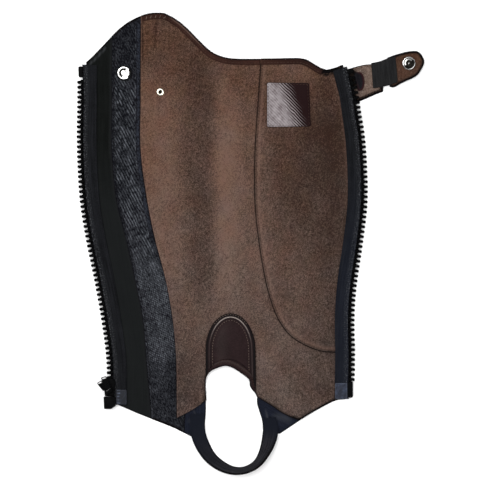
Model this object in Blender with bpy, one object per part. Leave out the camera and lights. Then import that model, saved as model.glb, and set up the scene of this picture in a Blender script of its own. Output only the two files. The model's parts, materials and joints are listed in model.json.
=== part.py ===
"""A leather half chap laid open on a table, suede side up.

Every length below is in millimetres and becomes metres when a mesh is made. X runs across the
open chap, Y up the leg towards the knee, Z up from the table. The origin is on the table, under
the middle of the chap. Panels keep one lattice of points, so pieces that lie on each other bend
alike and stay SEAM apart.
"""

from bisect import bisect_right
from collections import namedtuple
from math import atan2, ceil, cos, hypot, pi, radians, sin, sqrt

import bmesh
import bpy
from mathutils import Matrix, Vector
from mathutils.geometry import delaunay_2d_cdt

MM = 0.001
SEAM = 0.3  # gap between pieces that touch on the real chap
LATTICE = 13.0  # spacing of the points that all panels share
EDGE_STEP = 9.0  # spacing of points along a panel's edge
LAP = 7.0  # how far one panel runs under the next at a lapped seam
CLIMB = 7.8  # how far in from such a seam the upper panel stays up on the lower one
DRAPE = 8.8  # length over which it then comes back down to the table

LEATHER = 1.8
FACING = 1.6
ELASTIC = 1.4
TAPE = 1.1
PATCH = 1.4
HEM = 1.0
LABEL = 0.8
FILM = 0.6

TAPE_WIDTH = 15.5
TAPE_STEP = 5.0  # spacing of points along a tape
PANEL_INSET = 4.0  # from a tape's toothed edge back to the panel under it
TEETH_REACH = 5.5  # how far the teeth stand out past the tape's edge
TEETH_HEIGHT = 4.0
HEM_WIDTH = 6.5

BRIDGE = 3.0  # narrower hollows are bridged by what lies on them
LATTICE_CLEAR = 4.6  # lattice points closer than this to an edge or a crease are left out
CREASE_CLEAR = 2.3  # crease points closer than this to an edge are left out
SLIVER = 0.02  # twice the area under which a triangle is dropped

# The long edges of the open chap, a row for each section across the leg.
Section = namedtuple("Section", "y left_zip facing suede right_zip")
SECTIONS = (
    Section(-195, -148.6, -106.6, -79.1, 106.0),
    Section(-169, -148.6, -108.2, -79.4, 106.2),
    Section(-126, -149.5, -112.3, -79.9, 107.0),
    Section(-82, -155.3, -116.0, -83.7, 107.0),
    Section(-39, -163.0, -124.6, -91.4, 110.1),
    Section(4, -171.6, -134.0, -102.6, 115.9),
    Section(47, -178.3, -144.5, -111.3, 119.7),
    Section(101, -181.3, -149.5, -118.3, 119.0),
    Section(155, -181.3, -149.5, -118.3, 112.8),
    Section(176, -181.3, -149.5, -118.2, 107.5),
    Section(200, -181.3, -149.5, -118.2, 101.4),
)
# About how high each long edge meets the bottom and the top edge.
Ends = namedtuple("Ends", "foot head")
LEFT_ZIP_ENDS = Ends(-172.0, 194.0)
FACING_ENDS = Ends(-188.0, 215.0)
SUEDE_ENDS = Ends(-200.0, 240.0)
RIGHT_ZIP_ENDS = Ends(-168.0, 191.0)

Point = namedtuple("Point", "x y")
TOP_EDGE = tuple(Point(*p) for p in (
    (-184.0, 189.0), (-175.4, 197.3), (-140.5, 233.6), (-116.5, 247.2), (-98.7, 249.5), (-89.5, 247.5),
    (-73.0, 236.7), (-46.5, 210.2), (-36.6, 203.7), (-22.6, 199.9), (10.4, 199.4), (49.9, 200.1),
    (59.8, 198.6), (68.1, 193.9), (78.0, 187.6), (87.9, 188.7), (102.8, 192.3),
))
LEFT_HEM = tuple(Point(*p) for p in (
    (-150.0, -171.2), (-140.8, -174.8), (-116.1, -185.4), (-78.5, -200.3), (-64.2, -207.5),
))
RIGHT_HEM = tuple(Point(*p) for p in (
    (31.8, -203.6), (52.9, -190.1), (73.8, -177.8), (86.2, -171.0), (92.3, -168.2), (106.0, -167.0),
))
# The curved seam between front and calf panels, from the top edge round to the right-hand zip.
CALF_SEAM = tuple(Point(*p) for p in (
    (11.3, 199.4), (8.1, 155.1), (4.6, 101.1), (4.4, 47.1), (8.5, 4.0), (15.8, -39.3), (22.7, -64.6),
    (30.1, -82.5), (40.9, -97.6), (53.2, -106.8), (65.4, -112.7), (79.5, -116.8), (103.0, -117.6),
))
# The arch over the instep, from the left leg to the right leg.
ARCH = tuple(Point(*p) for p in (
    (-48.4, -152.0), (-47.6, -145.0), (-44.6, -138.9), (-38.2, -134.2), (-28.0, -131.4), (-19.2, -133.8),
    (-9.3, -140.2), (-1.6, -146.6), (0.2, -154.4), (6.5, -161.8), (8.2, -165.3),
))
LEFT_LEG_END = (Point(-79.1, -187.8), Point(-64.5, -180.2), Point(-48.6, -168.9))
RIGHT_LEG_END = (Point(8.2, -165.3), Point(24.0, -175.1), Point(34.3, -182.0), Point(52.9, -190.0))
# Inner sides of the webbing below each leg.
LEFT_ANCHOR_SIDE = (Point(-49.8, -199.8), Point(-48.7, -186.0))
RIGHT_ANCHOR_SIDE = (Point(8.8, -166.2), Point(9.0, -173.2), Point(13.7, -191.0), Point(13.7, -204.2))
# Top edge of the leather rim that is turned round the arch.
RIM_TOP = tuple(Point(*p) for p in (
    (-48.2, -147.5), (-45.4, -136.4), (-36.7, -127.2), (-27.0, -124.1), (-15.7, -125.6), (-8.2, -130.3),
    (-0.8, -137.8), (3.0, -146.2), (4.6, -152.0), (6.6, -160.6),
))

# Where the chap stands off the table: over the press stud, the eyelet, the zip slider and the
# snap's cap, at the curling top, and in soft waves of the leather.
Rise = namedtuple("Rise", "x y flat reach height")
RISES = (
    Rise(-136.3, 183.9, 9, 54, 2.8),
    Rise(-97.3, 163.6, 5, 34, 1.0),
    Rise(-98.0, 256.0, 8, 62, 4.0),
    Rise(-151.0, -164.0, 20, 58, 2.0),
    Rise(170.7, 194.3, 10, 36, 2.4),
    Rise(-30.0, 95.0, 0, 62, 2.6),
    Rise(62.0, 30.0, 0, 58, 2.2),
    Rise(-40.0, -40.0, 0, 55, 2.0),
    Rise(60.0, -150.0, 0, 45, 2.4),
    Rise(-20.0, -118.0, 6, 42, 2.2),
)
STRAP_ROOT_RISE = Rise(103.0, 172.0, 22, 50, LEATHER + SEAM)

PRESS_STUD = Point(-136.3, 183.9)
EYELET = Point(-97.3, 163.6)
SOCKET = Point(170.7, 194.3)
STUD_HOLE = 2.9
EYELET_HOLE = 2.6
SOCKET_HOLE = 2.5
FASTENER_SIDES = 18
FASTENER_REACH = 4.0  # how far round a fastener the sheet's slope is taken

# Arch patch: the half ellipse of its top, with straight sides down to the arch.
PATCH_MIDDLE = Point(-21.4, -115.0)
PATCH_HALF_WIDTH = 26.9
PATCH_RISE = 39.7
PATCH_FOOT = Point(6.2, -150.0)

# The turned-down hem runs along the top edge between these places across.
HEM_START = -117.6
HEM_STOP = 79.0

# One half of the zip: where its tape and its teeth start and stop.
ZipHalf = namedtuple("ZipHalf", "foot head teeth_foot teeth_head")
LEFT_HALF = ZipHalf(-173.8, 192.6, -143.6, 179.6)
RIGHT_HALF = ZipHalf(-167.0, 189.6, -147.0, 184.0)

# Outlines by corner: x, y and corner radius.
LABEL_CORNERS = ((17.9, 173.6, 1.2), (17.9, 125.6, 1.2), (65.2, 126.4, 1.2), (63.2, 173.2, 1.2))
STRAP_BASE_CORNERS = (
    (98.0, 185.5, 2), (101.0, 150.9, 2), (143.4, 164.8, 1), (144.0, 192.5, 1), (130.6, 194.0, 4),
)
STRAP_PATCH_CORNERS = (
    (112.4, 184.4, 0.5), (117.4, 165.4, 0.5), (120.8, 166.0, 2.5), (122.6, 174.0, 5), (119.4, 184.8, 3),
)
STRAP_ELASTIC_CORNERS = (
    (130.2, 195.0, 0.5), (132.6, 167.6, 0.5), (158.9, 174.6, 0.5), (156.3, 202.0, 0.5),
)
STRAP_TIP_CORNERS = (
    (147.4, 200.4, 0.5), (150.4, 170.4, 1), (154.6, 169.2, 2), (180.6, 181.0, 16), (188.8, 196.0, 9),
    (182.0, 208.6, 9), (167.0, 206.6, 14), (155.4, 203.4, 3),
)
LEFT_FILM_CORNERS = (
    (-144.4, -157.6, 0.5), (-144.4, -173.2, 0.5), (-133.4, -173.4, 0.5), (-133.4, -157.6, 0.5),
)
RIGHT_FILM_CORNERS = (
    (91.4, -150.2, 0.5), (91.6, -166.4, 0.5), (104.4, -166.4, 0.5), (104.4, -150.2, 0.5),
)

# Turned fasteners: radius and height above the underside of the sheet that each one grips.
STUD_PROFILE = (
    (0, 2.9), (2.2, 2.7), (3.2, 2.2), (4.2, 2.2), (5.0, 2.8), (6.0, 3.0), (6.9, 2.6), (7.2, 1.9),
    (7.1, 1.7), (2.6, 1.7), (2.6, -0.3), (6.6, -0.3), (6.7, -0.7), (3.4, -0.9), (3.0, -1.4),
    (3.6, -1.9), (3.2, -2.4), (0, -2.5),
)
SOCKET_PROFILE = (
    (0, 2.9), (3.2, 2.9), (3.4, 3.7), (4.0, 4.2), (5.6, 4.4), (6.6, 3.9), (7.0, 3.0), (6.9, 2.1),
    (2.2, 2.1), (2.2, -0.3), (7.2, -0.3), (7.3, -0.9), (6.4, -1.6), (4.0, -2.0), (0, -2.1),
)
EYELET_PROFILE = (
    (1.9, 2.5), (2.6, 2.95), (3.6, 2.7), (4.2, 2.1), (2.3, 2.1), (2.3, -0.3), (3.9, -0.3),
    (3.9, -0.7), (1.9, -0.7),
)

# Moulded zip parts that grip a tape's edge: where each one's middle is, its size across, along and
# up, and which way it opens towards the tape.
Grip = namedtuple("Grip", "x y wide long high opens")
SLIDER = Grip(-151.6, -156.0, 13.0, 17.0, 6.4, 1)
RETAINER_BOX = Grip(-151.6, -171.6, 13.0, 13.2, 6.0, 1)
INSERTION_PIN = Grip(107.75, -157.6, 5.7, 17.6, 4.6, -1)
GRIP_BEVEL = 0.7

TAB_TURN = radians(33.0)  # how far round from +Y the pull tab lies
TAB_LENGTH = 19.0
TAB_WIDTH = 11.5
TAB_THICKNESS = 1.8
NECK_WIDTH = 4.6
NECK_LENGTH = 5.0
TAB_SHOULDER = Point(4.95, 8.5)  # where the tab's sides start to widen to its tip
HINGE = Point(-151.2, -159.0)
PIN_RADIUS = 0.7
EYE_HOLE = 1.1
EYE_RADIUS = 1.7
LUG_GAP = 0.5  # between the neck and each lug
LUG_THICKNESS = 1.3
# Upper part of a lug seen from the side, measured from the pin's middle.
LUG_TOP = (Point(1.5, 0.4), Point(0.7, 1.3), Point(-0.7, 1.3), Point(-1.5, 0.4))

# The stirrup band, a row for each place along its middle. The flat band is STIRRUP_WIDTH wide, and
# where it shows narrower from above it leans outwards with its inner edge down. low is the height
# of that edge.
Band = namedtuple("Band", "x y shown low")
STIRRUP_WIDTH = 17.5
STIRRUP_THICKNESS = 1.5
STIRRUP = (
    Band(-56.8, -184.0, 15.0, ELASTIC + SEAM),
    Band(-57.0, -194.0, 15.8, ELASTIC + SEAM),
    Band(-56.6, -203.6, 16.6, ELASTIC + SEAM),
    Band(-51.4, -218.4, 14.6, 0.8),
    Band(-43.6, -230.5, 12.6, 0.0),
    Band(-31.2, -240.6, 10.6, 0.0),
    Band(-17.0, -245.3, 8.4, 0.0),
    Band(-4.0, -243.6, 8.6, 0.0),
    Band(8.2, -236.0, 10.4, 0.0),
    Band(16.0, -224.4, 13.0, 0.2),
    Band(20.6, -211.0, 16.4, 1.0),
    Band(22.0, -200.6, 17.4, ELASTIC + SEAM),
    Band(20.4, -188.0, 14.0, ELASTIC + SEAM),
)

Finish = namedtuple("Finish", "colour roughness metallic")
FINISHES = {
    "suede": Finish((0.125, 0.075, 0.055), 0.95, 0.0),
    "strap_suede": Finish((0.16, 0.10, 0.075), 0.9, 0.0),
    "dark_leather": Finish((0.026, 0.016, 0.016), 0.45, 0.0),
    "hem_leather": Finish((0.06, 0.034, 0.026), 0.6, 0.0),
    "facing": Finish((0.009, 0.010, 0.010), 0.75, 0.0),
    "elastic": Finish((0.026, 0.026, 0.031), 0.85, 0.0),
    "stirrup_elastic": Finish((0.014, 0.015, 0.022), 0.85, 0.0),
    "zip_tape": Finish((0.014, 0.015, 0.018), 0.8, 0.0),
    "zip_plastic": Finish((0.006, 0.006, 0.007), 0.35, 0.0),
    "film": Finish((0.045, 0.052, 0.078), 0.3, 0.0),
    "label": Finish((0.03, 0.015, 0.014), 0.25, 0.0),
    "nickel": Finish((0.75, 0.75, 0.73), 0.2, 1.0),
    "brass": Finish((0.80, 0.72, 0.52), 0.3, 1.0),
}


def clear_scene():
    for thing in list(bpy.data.objects):
        bpy.data.objects.remove(thing, do_unlink=True)


def finish(name):
    """The material of this name, made once."""
    if name in bpy.data.materials:
        return bpy.data.materials[name]
    look = FINISHES[name]
    made = bpy.data.materials.new(name)
    made.use_nodes = True
    shader = made.node_tree.nodes["Principled BSDF"]
    shader.inputs["Base Color"].default_value = (*look.colour, 1.0)
    shader.inputs["Roughness"].default_value = look.roughness
    shader.inputs["Metallic"].default_value = look.metallic
    return made


def add_object(name, shape, material, origin=(0.0, 0.0, 0.0)):
    """Turns a bmesh in millimetres round origin into an object in metres placed there."""
    bmesh.ops.recalc_face_normals(shape, faces=shape.faces)
    bmesh.ops.scale(shape, vec=(MM, MM, MM), verts=shape.verts)
    mesh = bpy.data.meshes.new(name)
    shape.to_mesh(mesh)
    shape.free()
    mesh.materials.append(finish(material))
    made = bpy.data.objects.new(name, mesh)
    made.location = Vector(origin) * MM
    bpy.context.scene.collection.objects.link(made)
    return made


# Curves


def follow(rows, across, along):
    """A smooth function of the column across that passes through every row's column along."""
    rows = sorted(rows, key=lambda row: getattr(row, across))
    xs = [getattr(row, across) for row in rows]
    ys = [getattr(row, along) for row in rows]
    slopes = []
    for i in range(len(xs)):
        before, after = max(i - 1, 0), min(i + 1, len(xs) - 1)
        slopes.append((ys[after] - ys[before]) / (xs[after] - xs[before]))

    def value(x):
        i = min(max(bisect_right(xs, x) - 1, 0), len(xs) - 2)
        width = xs[i + 1] - xs[i]
        t = (x - xs[i]) / width
        if t < 0 or t > 1:
            end = i if t < 0 else i + 1
            return ys[end] + slopes[end] * (x - xs[end])
        return (
            ys[i] * (2 * t**3 - 3 * t**2 + 1)
            + ys[i + 1] * (3 * t**2 - 2 * t**3)
            + width * slopes[i] * (t**3 - 2 * t**2 + t)
            + width * slopes[i + 1] * (t**3 - t**2)
        )

    return value


LEFT_ZIP = follow(SECTIONS, "y", "left_zip")
FACING_EDGE = follow(SECTIONS, "y", "facing")
SUEDE_EDGE = follow(SECTIONS, "y", "suede")
RIGHT_ZIP = follow(SECTIONS, "y", "right_zip")
TOP = follow(TOP_EDGE, "x", "y")
LEFT_BOTTOM = follow(LEFT_HEM, "x", "y")
RIGHT_BOTTOM = follow(RIGHT_HEM, "x", "y")


def steps(start, stop, step=EDGE_STEP):
    """Even values from start to stop, both included, no more than step apart."""
    count = max(1, ceil(abs(stop - start) / step))
    return [start + (stop - start) * i / count for i in range(count + 1)]


def up(edge, start, stop, shift=0.0, step=EDGE_STEP):
    """Points on a long edge between two heights, shifted across."""
    return [Point(edge(y) + shift, y) for y in steps(start, stop, step)]


def over(edge, start, stop, shift=0.0, step=EDGE_STEP):
    """Points on a top or bottom edge between two places across, shifted up."""
    return [Point(x, edge(x) + shift) for x in steps(start, stop, step)]


def smooth(points, step=EDGE_STEP):
    """A rounded line through all of points (Catmull-Rom), sampled about step apart."""
    line = []
    last = len(points) - 1
    for i in range(last):
        around = [Vector(points[min(max(k, 0), last)]) for k in (i - 1, i, i + 1, i + 2)]
        a, b, c, d = around
        for t in steps(0.0, 1.0, step / (c - b).length)[:-1]:
            spot = b + 0.5 * t * (c - a + t * (2 * a - 5 * b + 4 * c - d + t * (3 * (b - c) + d - a)))
            line.append(Point(spot.x, spot.y))
    return line + [Point(*points[-1])]


def beside(line, distance):
    """The line moved to its left by distance."""
    moved = []
    for i, here in enumerate(line):
        before, after = line[max(i - 1, 0)], line[min(i + 1, len(line) - 1)]
        run = hypot(after.x - before.x, after.y - before.y)
        moved.append(Point(
            here.x - distance * (after.y - before.y) / run,
            here.y + distance * (after.x - before.x) / run,
        ))
    return moved


def rounded(corners, step=2.5):
    """A closed outline of corners (x, y, radius), each turned with an arc of its radius."""
    outline = []
    for i, (x, y, radius) in enumerate(corners):
        here = Vector((x, y))
        before = (Vector(corners[i - 1][:2]) - here).normalized()
        after = (Vector(corners[(i + 1) % len(corners)][:2]) - here).normalized()
        if radius <= 0:
            outline.append(Point(x, y))
            continue
        half = before.angle(after) / 2
        centre = here + (before + after).normalized() * radius / sin(half)
        first = here + before * radius * cos(half) / sin(half) - centre
        last = here + after * radius * cos(half) / sin(half) - centre
        turn = atan2(first.x * last.y - first.y * last.x, first.dot(last))
        for t in steps(0.0, turn, step / radius):
            outline.append(Point(
                centre.x + first.x * cos(t) - first.y * sin(t),
                centre.y + first.x * sin(t) + first.y * cos(t),
            ))
    return outline


def densified(outline):
    """The closed outline with points added where two are more than EDGE_STEP apart."""
    filled = []
    for a, b in zip(outline, outline[1:] + outline[:1]):
        for t in steps(0.0, 1.0, EDGE_STEP / max(hypot(b.x - a.x, b.y - a.y), 1e-6))[:-1]:
            filled.append(Point(a.x + t * (b.x - a.x), a.y + t * (b.y - a.y)))
    return filled


def circle(centre, radius, sides=16):
    turns = [2 * pi * i / sides for i in range(sides)]
    return [Point(centre.x + radius * cos(t), centre.y + radius * sin(t)) for t in turns]


def distance_to(line, x, y):
    """How far the point is from the nearest stretch of line."""
    nearest = float("inf")
    for a, b in zip(line, line[1:]):
        dx, dy = b.x - a.x, b.y - a.y
        t = min(max(((x - a.x) * dx + (y - a.y) * dy) / (dx * dx + dy * dy), 0.0), 1.0)
        nearest = min(nearest, hypot(x - a.x - t * dx, y - a.y - t * dy))
    return nearest


def clearance(lines, x, y):
    return min(distance_to(line, x, y) for line in lines)


def inside(outline, x, y):
    """Whether the point is within the closed outline."""
    within = False
    for a, b in zip(outline, outline[1:] + outline[:1]):
        if (a.y > y) != (b.y > y) and x < a.x + (y - a.y) * (b.x - a.x) / (b.y - a.y):
            within = not within
    return within


# Heights: each function gives a piece's underside above the table


def ease(t):
    """1 at t <= 0, falling smoothly to 0 at t >= 1."""
    t = min(max(t, 0.0), 1.0)
    return 0.5 * (1 + cos(pi * t))


def raised(rise, x, y):
    away = hypot(x - rise.x, y - rise.y)
    return rise.height * ease((away - rise.flat) / (rise.reach - rise.flat))


def table_gap(x, y):
    """Underside of whatever is lowest here."""
    return sum(raised(rise, x, y) for rise in RISES)


SEAM_LINE = smooth(CALF_SEAM)
LEFT_END_LINE = smooth(LEFT_LEG_END)
RIGHT_END_LINE = smooth(RIGHT_LEG_END)
ARCH_LINE = smooth(ARCH, 4.0)


def front_low(x, y):
    """The front panel climbs onto the elastic along its left edge and onto the stirrup anchors."""
    over_elastic = x - SUEDE_EDGE(y) - CLIMB
    over_left = distance_to(LEFT_END_LINE, x, y) - CLIMB
    over_right = distance_to(RIGHT_END_LINE, x, y) - CLIMB
    nearest = min(over_elastic, over_left, over_right)
    return table_gap(x, y) + (ELASTIC + SEAM) * ease(nearest / DRAPE)


def calf_low(x, y):
    """The calf panel climbs onto the front panel at the curved seam, and onto the strap's root."""
    over_front = distance_to(SEAM_LINE, x, y) - CLIMB
    lapped = (LEATHER + SEAM) * ease(over_front / DRAPE)
    return table_gap(x, y) + max(lapped, raised(STRAP_ROOT_RISE, x, y))


def above(low, thickness):
    """Underside of a piece that lies on a panel, bridging its hollows narrower than BRIDGE."""
    around = ((0, 0), (BRIDGE, 0), (-BRIDGE, 0), (0, BRIDGE), (0, -BRIDGE))

    def height(x, y):
        return max(low(x + dx, y + dy) for dx, dy in around) + thickness + SEAM

    return height


def right_panels_low(x, y):
    """The calf panel's underside, and below its lower edge a slope down to the front panel."""
    if y > CALF_SEAM[-1].y:
        return calf_low(x, y)
    below = distance_to(SEAM_LINE, x, y)
    return table_gap(x, y) + (LEATHER + SEAM) * ease(below / DRAPE)


on_front = above(front_low, LEATHER)
on_calf = above(calf_low, LEATHER)
on_facing = above(table_gap, FACING)
on_strap = above(table_gap, LEATHER)
on_right_panels = above(right_panels_low, LEATHER)


# Shapes


def triangulate(outline, holes=(), creases=()):
    """Points and triangles that fill the outline less its holes: its edges, the creases within it
    and the shared lattice."""
    loops = [outline, *holes]
    points = [Vector(p) for loop in loops for p in loop]
    edges = []
    start = 0
    for loop in loops:
        edges += [(start + i, start + (i + 1) % len(loop)) for i in range(len(loop))]
        start += len(loop)
    closed = [loop + loop[:1] for loop in loops]
    bent = []
    for crease in creases:
        for x, y in crease:
            if inside(outline, x, y) and clearance(closed, x, y) > CREASE_CLEAR:
                bent.append(Vector((x, y)))
    points += bent
    row_height = LATTICE * sqrt(3) / 2
    xs, ys = [p.x for p in outline], [p.y for p in outline]
    for row in range(ceil(min(ys) / row_height), ceil(max(ys) / row_height)):
        y = row * row_height
        shift = LATTICE / 2 if row % 2 else 0.0
        for column in range(ceil(min(xs) / LATTICE) - 1, ceil(max(xs) / LATTICE) + 1):
            x = column * LATTICE + shift
            spot = Vector((x, y))
            if not inside(outline, x, y) or clearance(closed, x, y) < LATTICE_CLEAR:
                continue
            if all((spot - other).length > LATTICE_CLEAR for other in bent):
                points.append(spot)
    spots, _, faces, *_ = delaunay_2d_cdt(points, edges, [], 0, 1e-5)
    kept = []
    for face in faces:
        a, b, c = (spots[i] for i in face)
        middle = (a + b + c) / 3
        within = inside(outline, *middle) and not any(inside(hole, *middle) for hole in holes)
        if within and abs((b - a).cross(c - a)) > SLIVER:
            kept.append(face)
    return spots, kept


def sheet(name, material, outline, low, thickness, holes=(), creases=()):
    """A closed wall of this outline whose underside follows the height function low."""
    spots, faces = triangulate(densified(outline), holes, creases)
    shape = bmesh.new()
    corners = {}
    for face in faces:
        for i in face:
            if i not in corners:
                corners[i] = shape.verts.new((*spots[i], low(*spots[i])))
        shape.faces.new([corners[i] for i in face])
    grown = bmesh.ops.extrude_face_region(shape, geom=shape.faces[:])
    lifted = [v for v in grown["geom"] if isinstance(v, bmesh.types.BMVert)]
    bmesh.ops.translate(shape, vec=(0.0, 0.0, thickness), verts=lifted)
    return add_object(name, shape, material)


def prism(outline, bottom, top, holes=()):
    """A bmesh of the flat outline less its holes, standing from bottom to top."""
    spots, faces = triangulate(outline, holes)
    shape = bmesh.new()
    corners = [shape.verts.new((*spot, bottom)) for spot in spots]
    for face in faces:
        shape.faces.new([corners[i] for i in face])
    grown = bmesh.ops.extrude_face_region(shape, geom=shape.faces[:])
    lifted = [v for v in grown["geom"] if isinstance(v, bmesh.types.BMVert)]
    bmesh.ops.translate(shape, vec=(0.0, 0.0, top - bottom), verts=lifted)
    return shape


def turned(name, material, profile, centre, low):
    """A solid of revolution of (radius, z) points, run from its top down and back to its start,
    set square to the sheet whose underside is low."""
    shape = bmesh.new()
    rim = [shape.verts.new((radius, 0.0, z)) for radius, z in profile]
    closes = profile[0][0] > 0
    ring = [shape.edges.new(pair) for pair in zip(rim, rim[1:] + (rim[:1] if closes else []))]
    bmesh.ops.spin(
        shape, geom=rim + ring, cent=(0, 0, 0), axis=(0, 0, 1), angle=2 * pi,
        steps=FASTENER_SIDES, use_merge=True,
    )
    bmesh.ops.remove_doubles(shape, verts=shape.verts, dist=0.01)
    reach = FASTENER_REACH
    west, east = low(centre.x - reach, centre.y), low(centre.x + reach, centre.y)
    south, north = low(centre.x, centre.y - reach), low(centre.x, centre.y + reach)
    made = add_object(name, shape, material, (*centre, (west + east + south + north) / 4))
    square = Vector((west - east, south - north, 2 * reach))
    made.rotation_mode = "QUATERNION"
    made.rotation_quaternion = Vector((0.0, 0.0, 1.0)).rotation_difference(square)
    return made


def union(base, *others):
    """Joins other objects into base with Boolean modifiers and hides their own copies."""
    for other in others:
        join = base.modifiers.new("join", "BOOLEAN")
        join.operation = "UNION"
        join.object = other
        other.hide_render = True
        other.display_type = "WIRE"
    return base


# Pieces


def facing_and_elastic():
    """The plain strip beside the left zip and the puckered elastic that the suede is sewn onto."""
    foot, head = (LEFT_ZIP(y) + PANEL_INSET for y in LEFT_ZIP_ENDS)
    join_foot, join_head = (FACING_EDGE(y) for y in FACING_ENDS)
    sheet("zip_facing", "facing", (
        up(LEFT_ZIP, LEFT_BOTTOM(foot), TOP(head), PANEL_INSET)
        + over(TOP, head, join_head)[1:]
        + up(FACING_EDGE, TOP(join_head), LEFT_BOTTOM(join_foot))[1:]
        + over(LEFT_BOTTOM, join_foot, foot)[1:-1]
    ), table_gap, FACING)

    foot, head = join_foot + SEAM, join_head + SEAM
    hidden_foot, hidden_head = (SUEDE_EDGE(y) + LAP for y in SUEDE_ENDS)
    sheet("elastic_panel", "elastic", (
        up(FACING_EDGE, LEFT_BOTTOM(foot), TOP(head), SEAM)
        + over(TOP, head, hidden_head)[1:]
        + up(SUEDE_EDGE, TOP(hidden_head), LEFT_BOTTOM(hidden_foot), LAP)[1:]
        + over(LEFT_BOTTOM, hidden_foot, foot)[1:-1]
    ), table_gap, ELASTIC, holes=[circle(PRESS_STUD, STUD_HOLE)])


def front_panel():
    """The large suede panel, from the elastic across to the calf seam and down both legs."""
    hidden = beside(SEAM_LINE, LAP)
    hidden[0] = Point(hidden[0].x, TOP(hidden[0].x))
    hidden[-1] = Point(RIGHT_ZIP(hidden[-1].y) - PANEL_INSET, hidden[-1].y)
    head = SUEDE_EDGE(SUEDE_ENDS.head)
    foot = RIGHT_ZIP(RIGHT_ZIP_ENDS.foot) - PANEL_INSET
    climbs = [up(SUEDE_EDGE, *SUEDE_ENDS, shift) for shift in (CLIMB, CLIMB + DRAPE)]
    for end in (LEFT_END_LINE, RIGHT_END_LINE):
        climbs += [beside(end, shift) for shift in (CLIMB, CLIMB + DRAPE)]
    sheet("front_panel", "suede", (
        up(SUEDE_EDGE, LEFT_LEG_END[0].y, TOP(head))
        + over(TOP, head, hidden[0].x)[1:-1]
        + hidden
        + up(RIGHT_ZIP, hidden[-1].y, RIGHT_BOTTOM(foot), -PANEL_INSET)[1:]
        + over(RIGHT_BOTTOM, foot, RIGHT_LEG_END[-1].x)[1:-1]
        + RIGHT_END_LINE[::-1]
        + ARCH_LINE[::-1][1:]
        + LEFT_END_LINE[::-1][:-1]
    ), front_low, LEATHER, holes=[circle(EYELET, EYELET_HOLE, 12)], creases=climbs)


def calf_panel():
    """The inner calf panel, lapped over the front panel along the curved seam."""
    head = RIGHT_ZIP(RIGHT_ZIP_ENDS.head) - PANEL_INSET
    sheet("calf_panel", "suede", (
        [Point(SEAM_LINE[0].x, TOP(SEAM_LINE[0].x))]
        + over(TOP, SEAM_LINE[0].x, head)[1:]
        + up(RIGHT_ZIP, TOP(head), CALF_SEAM[-1].y, -PANEL_INSET)[1:-1]
        + SEAM_LINE[:0:-1]
    ), calf_low, LEATHER, creases=[beside(SEAM_LINE, shift) for shift in (CLIMB, CLIMB + DRAPE)])


def stirrup_anchors():
    """The dark webbing that carries the stirrup band, tucked under the end of each leg."""
    hidden = follow(beside(LEFT_END_LINE, LAP), "x", "y")
    outer = SUEDE_EDGE(SUEDE_ENDS.foot) + LAP + SEAM
    sheet("anchor_left", "stirrup_elastic", (
        over(LEFT_BOTTOM, outer, LEFT_HEM[-1].x)
        + list(LEFT_ANCHOR_SIDE)
        + over(hidden, LEFT_ANCHOR_SIDE[-1].x, outer)
    ), table_gap, ELASTIC)

    hidden = beside(RIGHT_END_LINE, LAP)
    sheet("anchor_right", "stirrup_elastic", (
        list(RIGHT_ANCHOR_SIDE)
        + over(RIGHT_BOTTOM, RIGHT_HEM[0].x, hidden[-1].x - 2 * SEAM)
        + hidden[::-1]
    ), table_gap, ELASTIC)


def arch_leather():
    """The smooth tongue that reinforces the instep, and the rim turned round the arch over it."""
    top = [
        Point(PATCH_MIDDLE.x + PATCH_HALF_WIDTH * cos(t), PATCH_MIDDLE.y + PATCH_RISE * sin(t))
        for t in steps(0.0, pi, 0.2)
    ]
    sheet("arch_patch", "dark_leather", top + ARCH_LINE[:-1] + [PATCH_FOOT], on_front, PATCH)
    sheet(
        "arch_rim", "dark_leather", ARCH_LINE[1:-2] + smooth(RIM_TOP)[::-1],
        above(on_front, PATCH), PATCH,
    )


def top_hems():
    """The edge turned down onto the suede along the top of each leather panel."""
    for name, start, stop, low in (
        ("top_hem_front", HEM_START, SEAM_LINE[0].x - 3 * SEAM, on_front),
        ("top_hem_calf", SEAM_LINE[0].x + SEAM, HEM_STOP, on_calf),
    ):
        edge = over(TOP, start, stop)
        sheet(name, "hem_leather", edge + beside(edge, -HEM_WIDTH)[::-1], low, HEM)


def label():
    sheet("label", "label", rounded(LABEL_CORNERS), on_calf, LABEL)


def zip_side(side, edge, outward, low, half):
    """One half of the zip: its tape, its row of teeth as one bar, and its top stop."""
    outer = up(edge, half.foot, half.head, step=TAPE_STEP)
    inner = beside(outer, outward * TAPE_WIDTH)
    sheet(f"zip_tape_{side}", "zip_tape", outer + inner[::-1], low, TAPE)

    def teeth_low(x, y):
        return low(edge(y), y) + (TAPE - TEETH_HEIGHT) / 2

    near, far = outward * SEAM, outward * (SEAM + TEETH_REACH)
    for name, start, stop in (
        (f"teeth_{side}", half.teeth_foot, half.teeth_head),
        (f"top_stop_{side}", half.teeth_head + SEAM, half.head),
    ):
        row = up(edge, start, stop, near) + up(edge, stop, start, far)
        sheet(name, "zip_plastic", row, teeth_low, TEETH_HEIGHT)


def zips():
    zip_side("left", LEFT_ZIP, -1, on_facing, LEFT_HALF)
    zip_side("right", RIGHT_ZIP, 1, on_right_panels, RIGHT_HALF)
    for name, corners, low in (
        ("film_left", LEFT_FILM_CORNERS, on_facing),
        ("film_right", RIGHT_FILM_CORNERS, on_right_panels),
    ):
        sheet(name, "film", rounded(corners), above(low, TAPE), FILM)


def tape_middle(grip):
    """Height of the middle of the tape that a moulded part grips."""
    low, edge = (on_facing, LEFT_ZIP) if grip.opens > 0 else (on_right_panels, RIGHT_ZIP)
    return low(edge(grip.y), grip.y) + TAPE / 2


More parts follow.
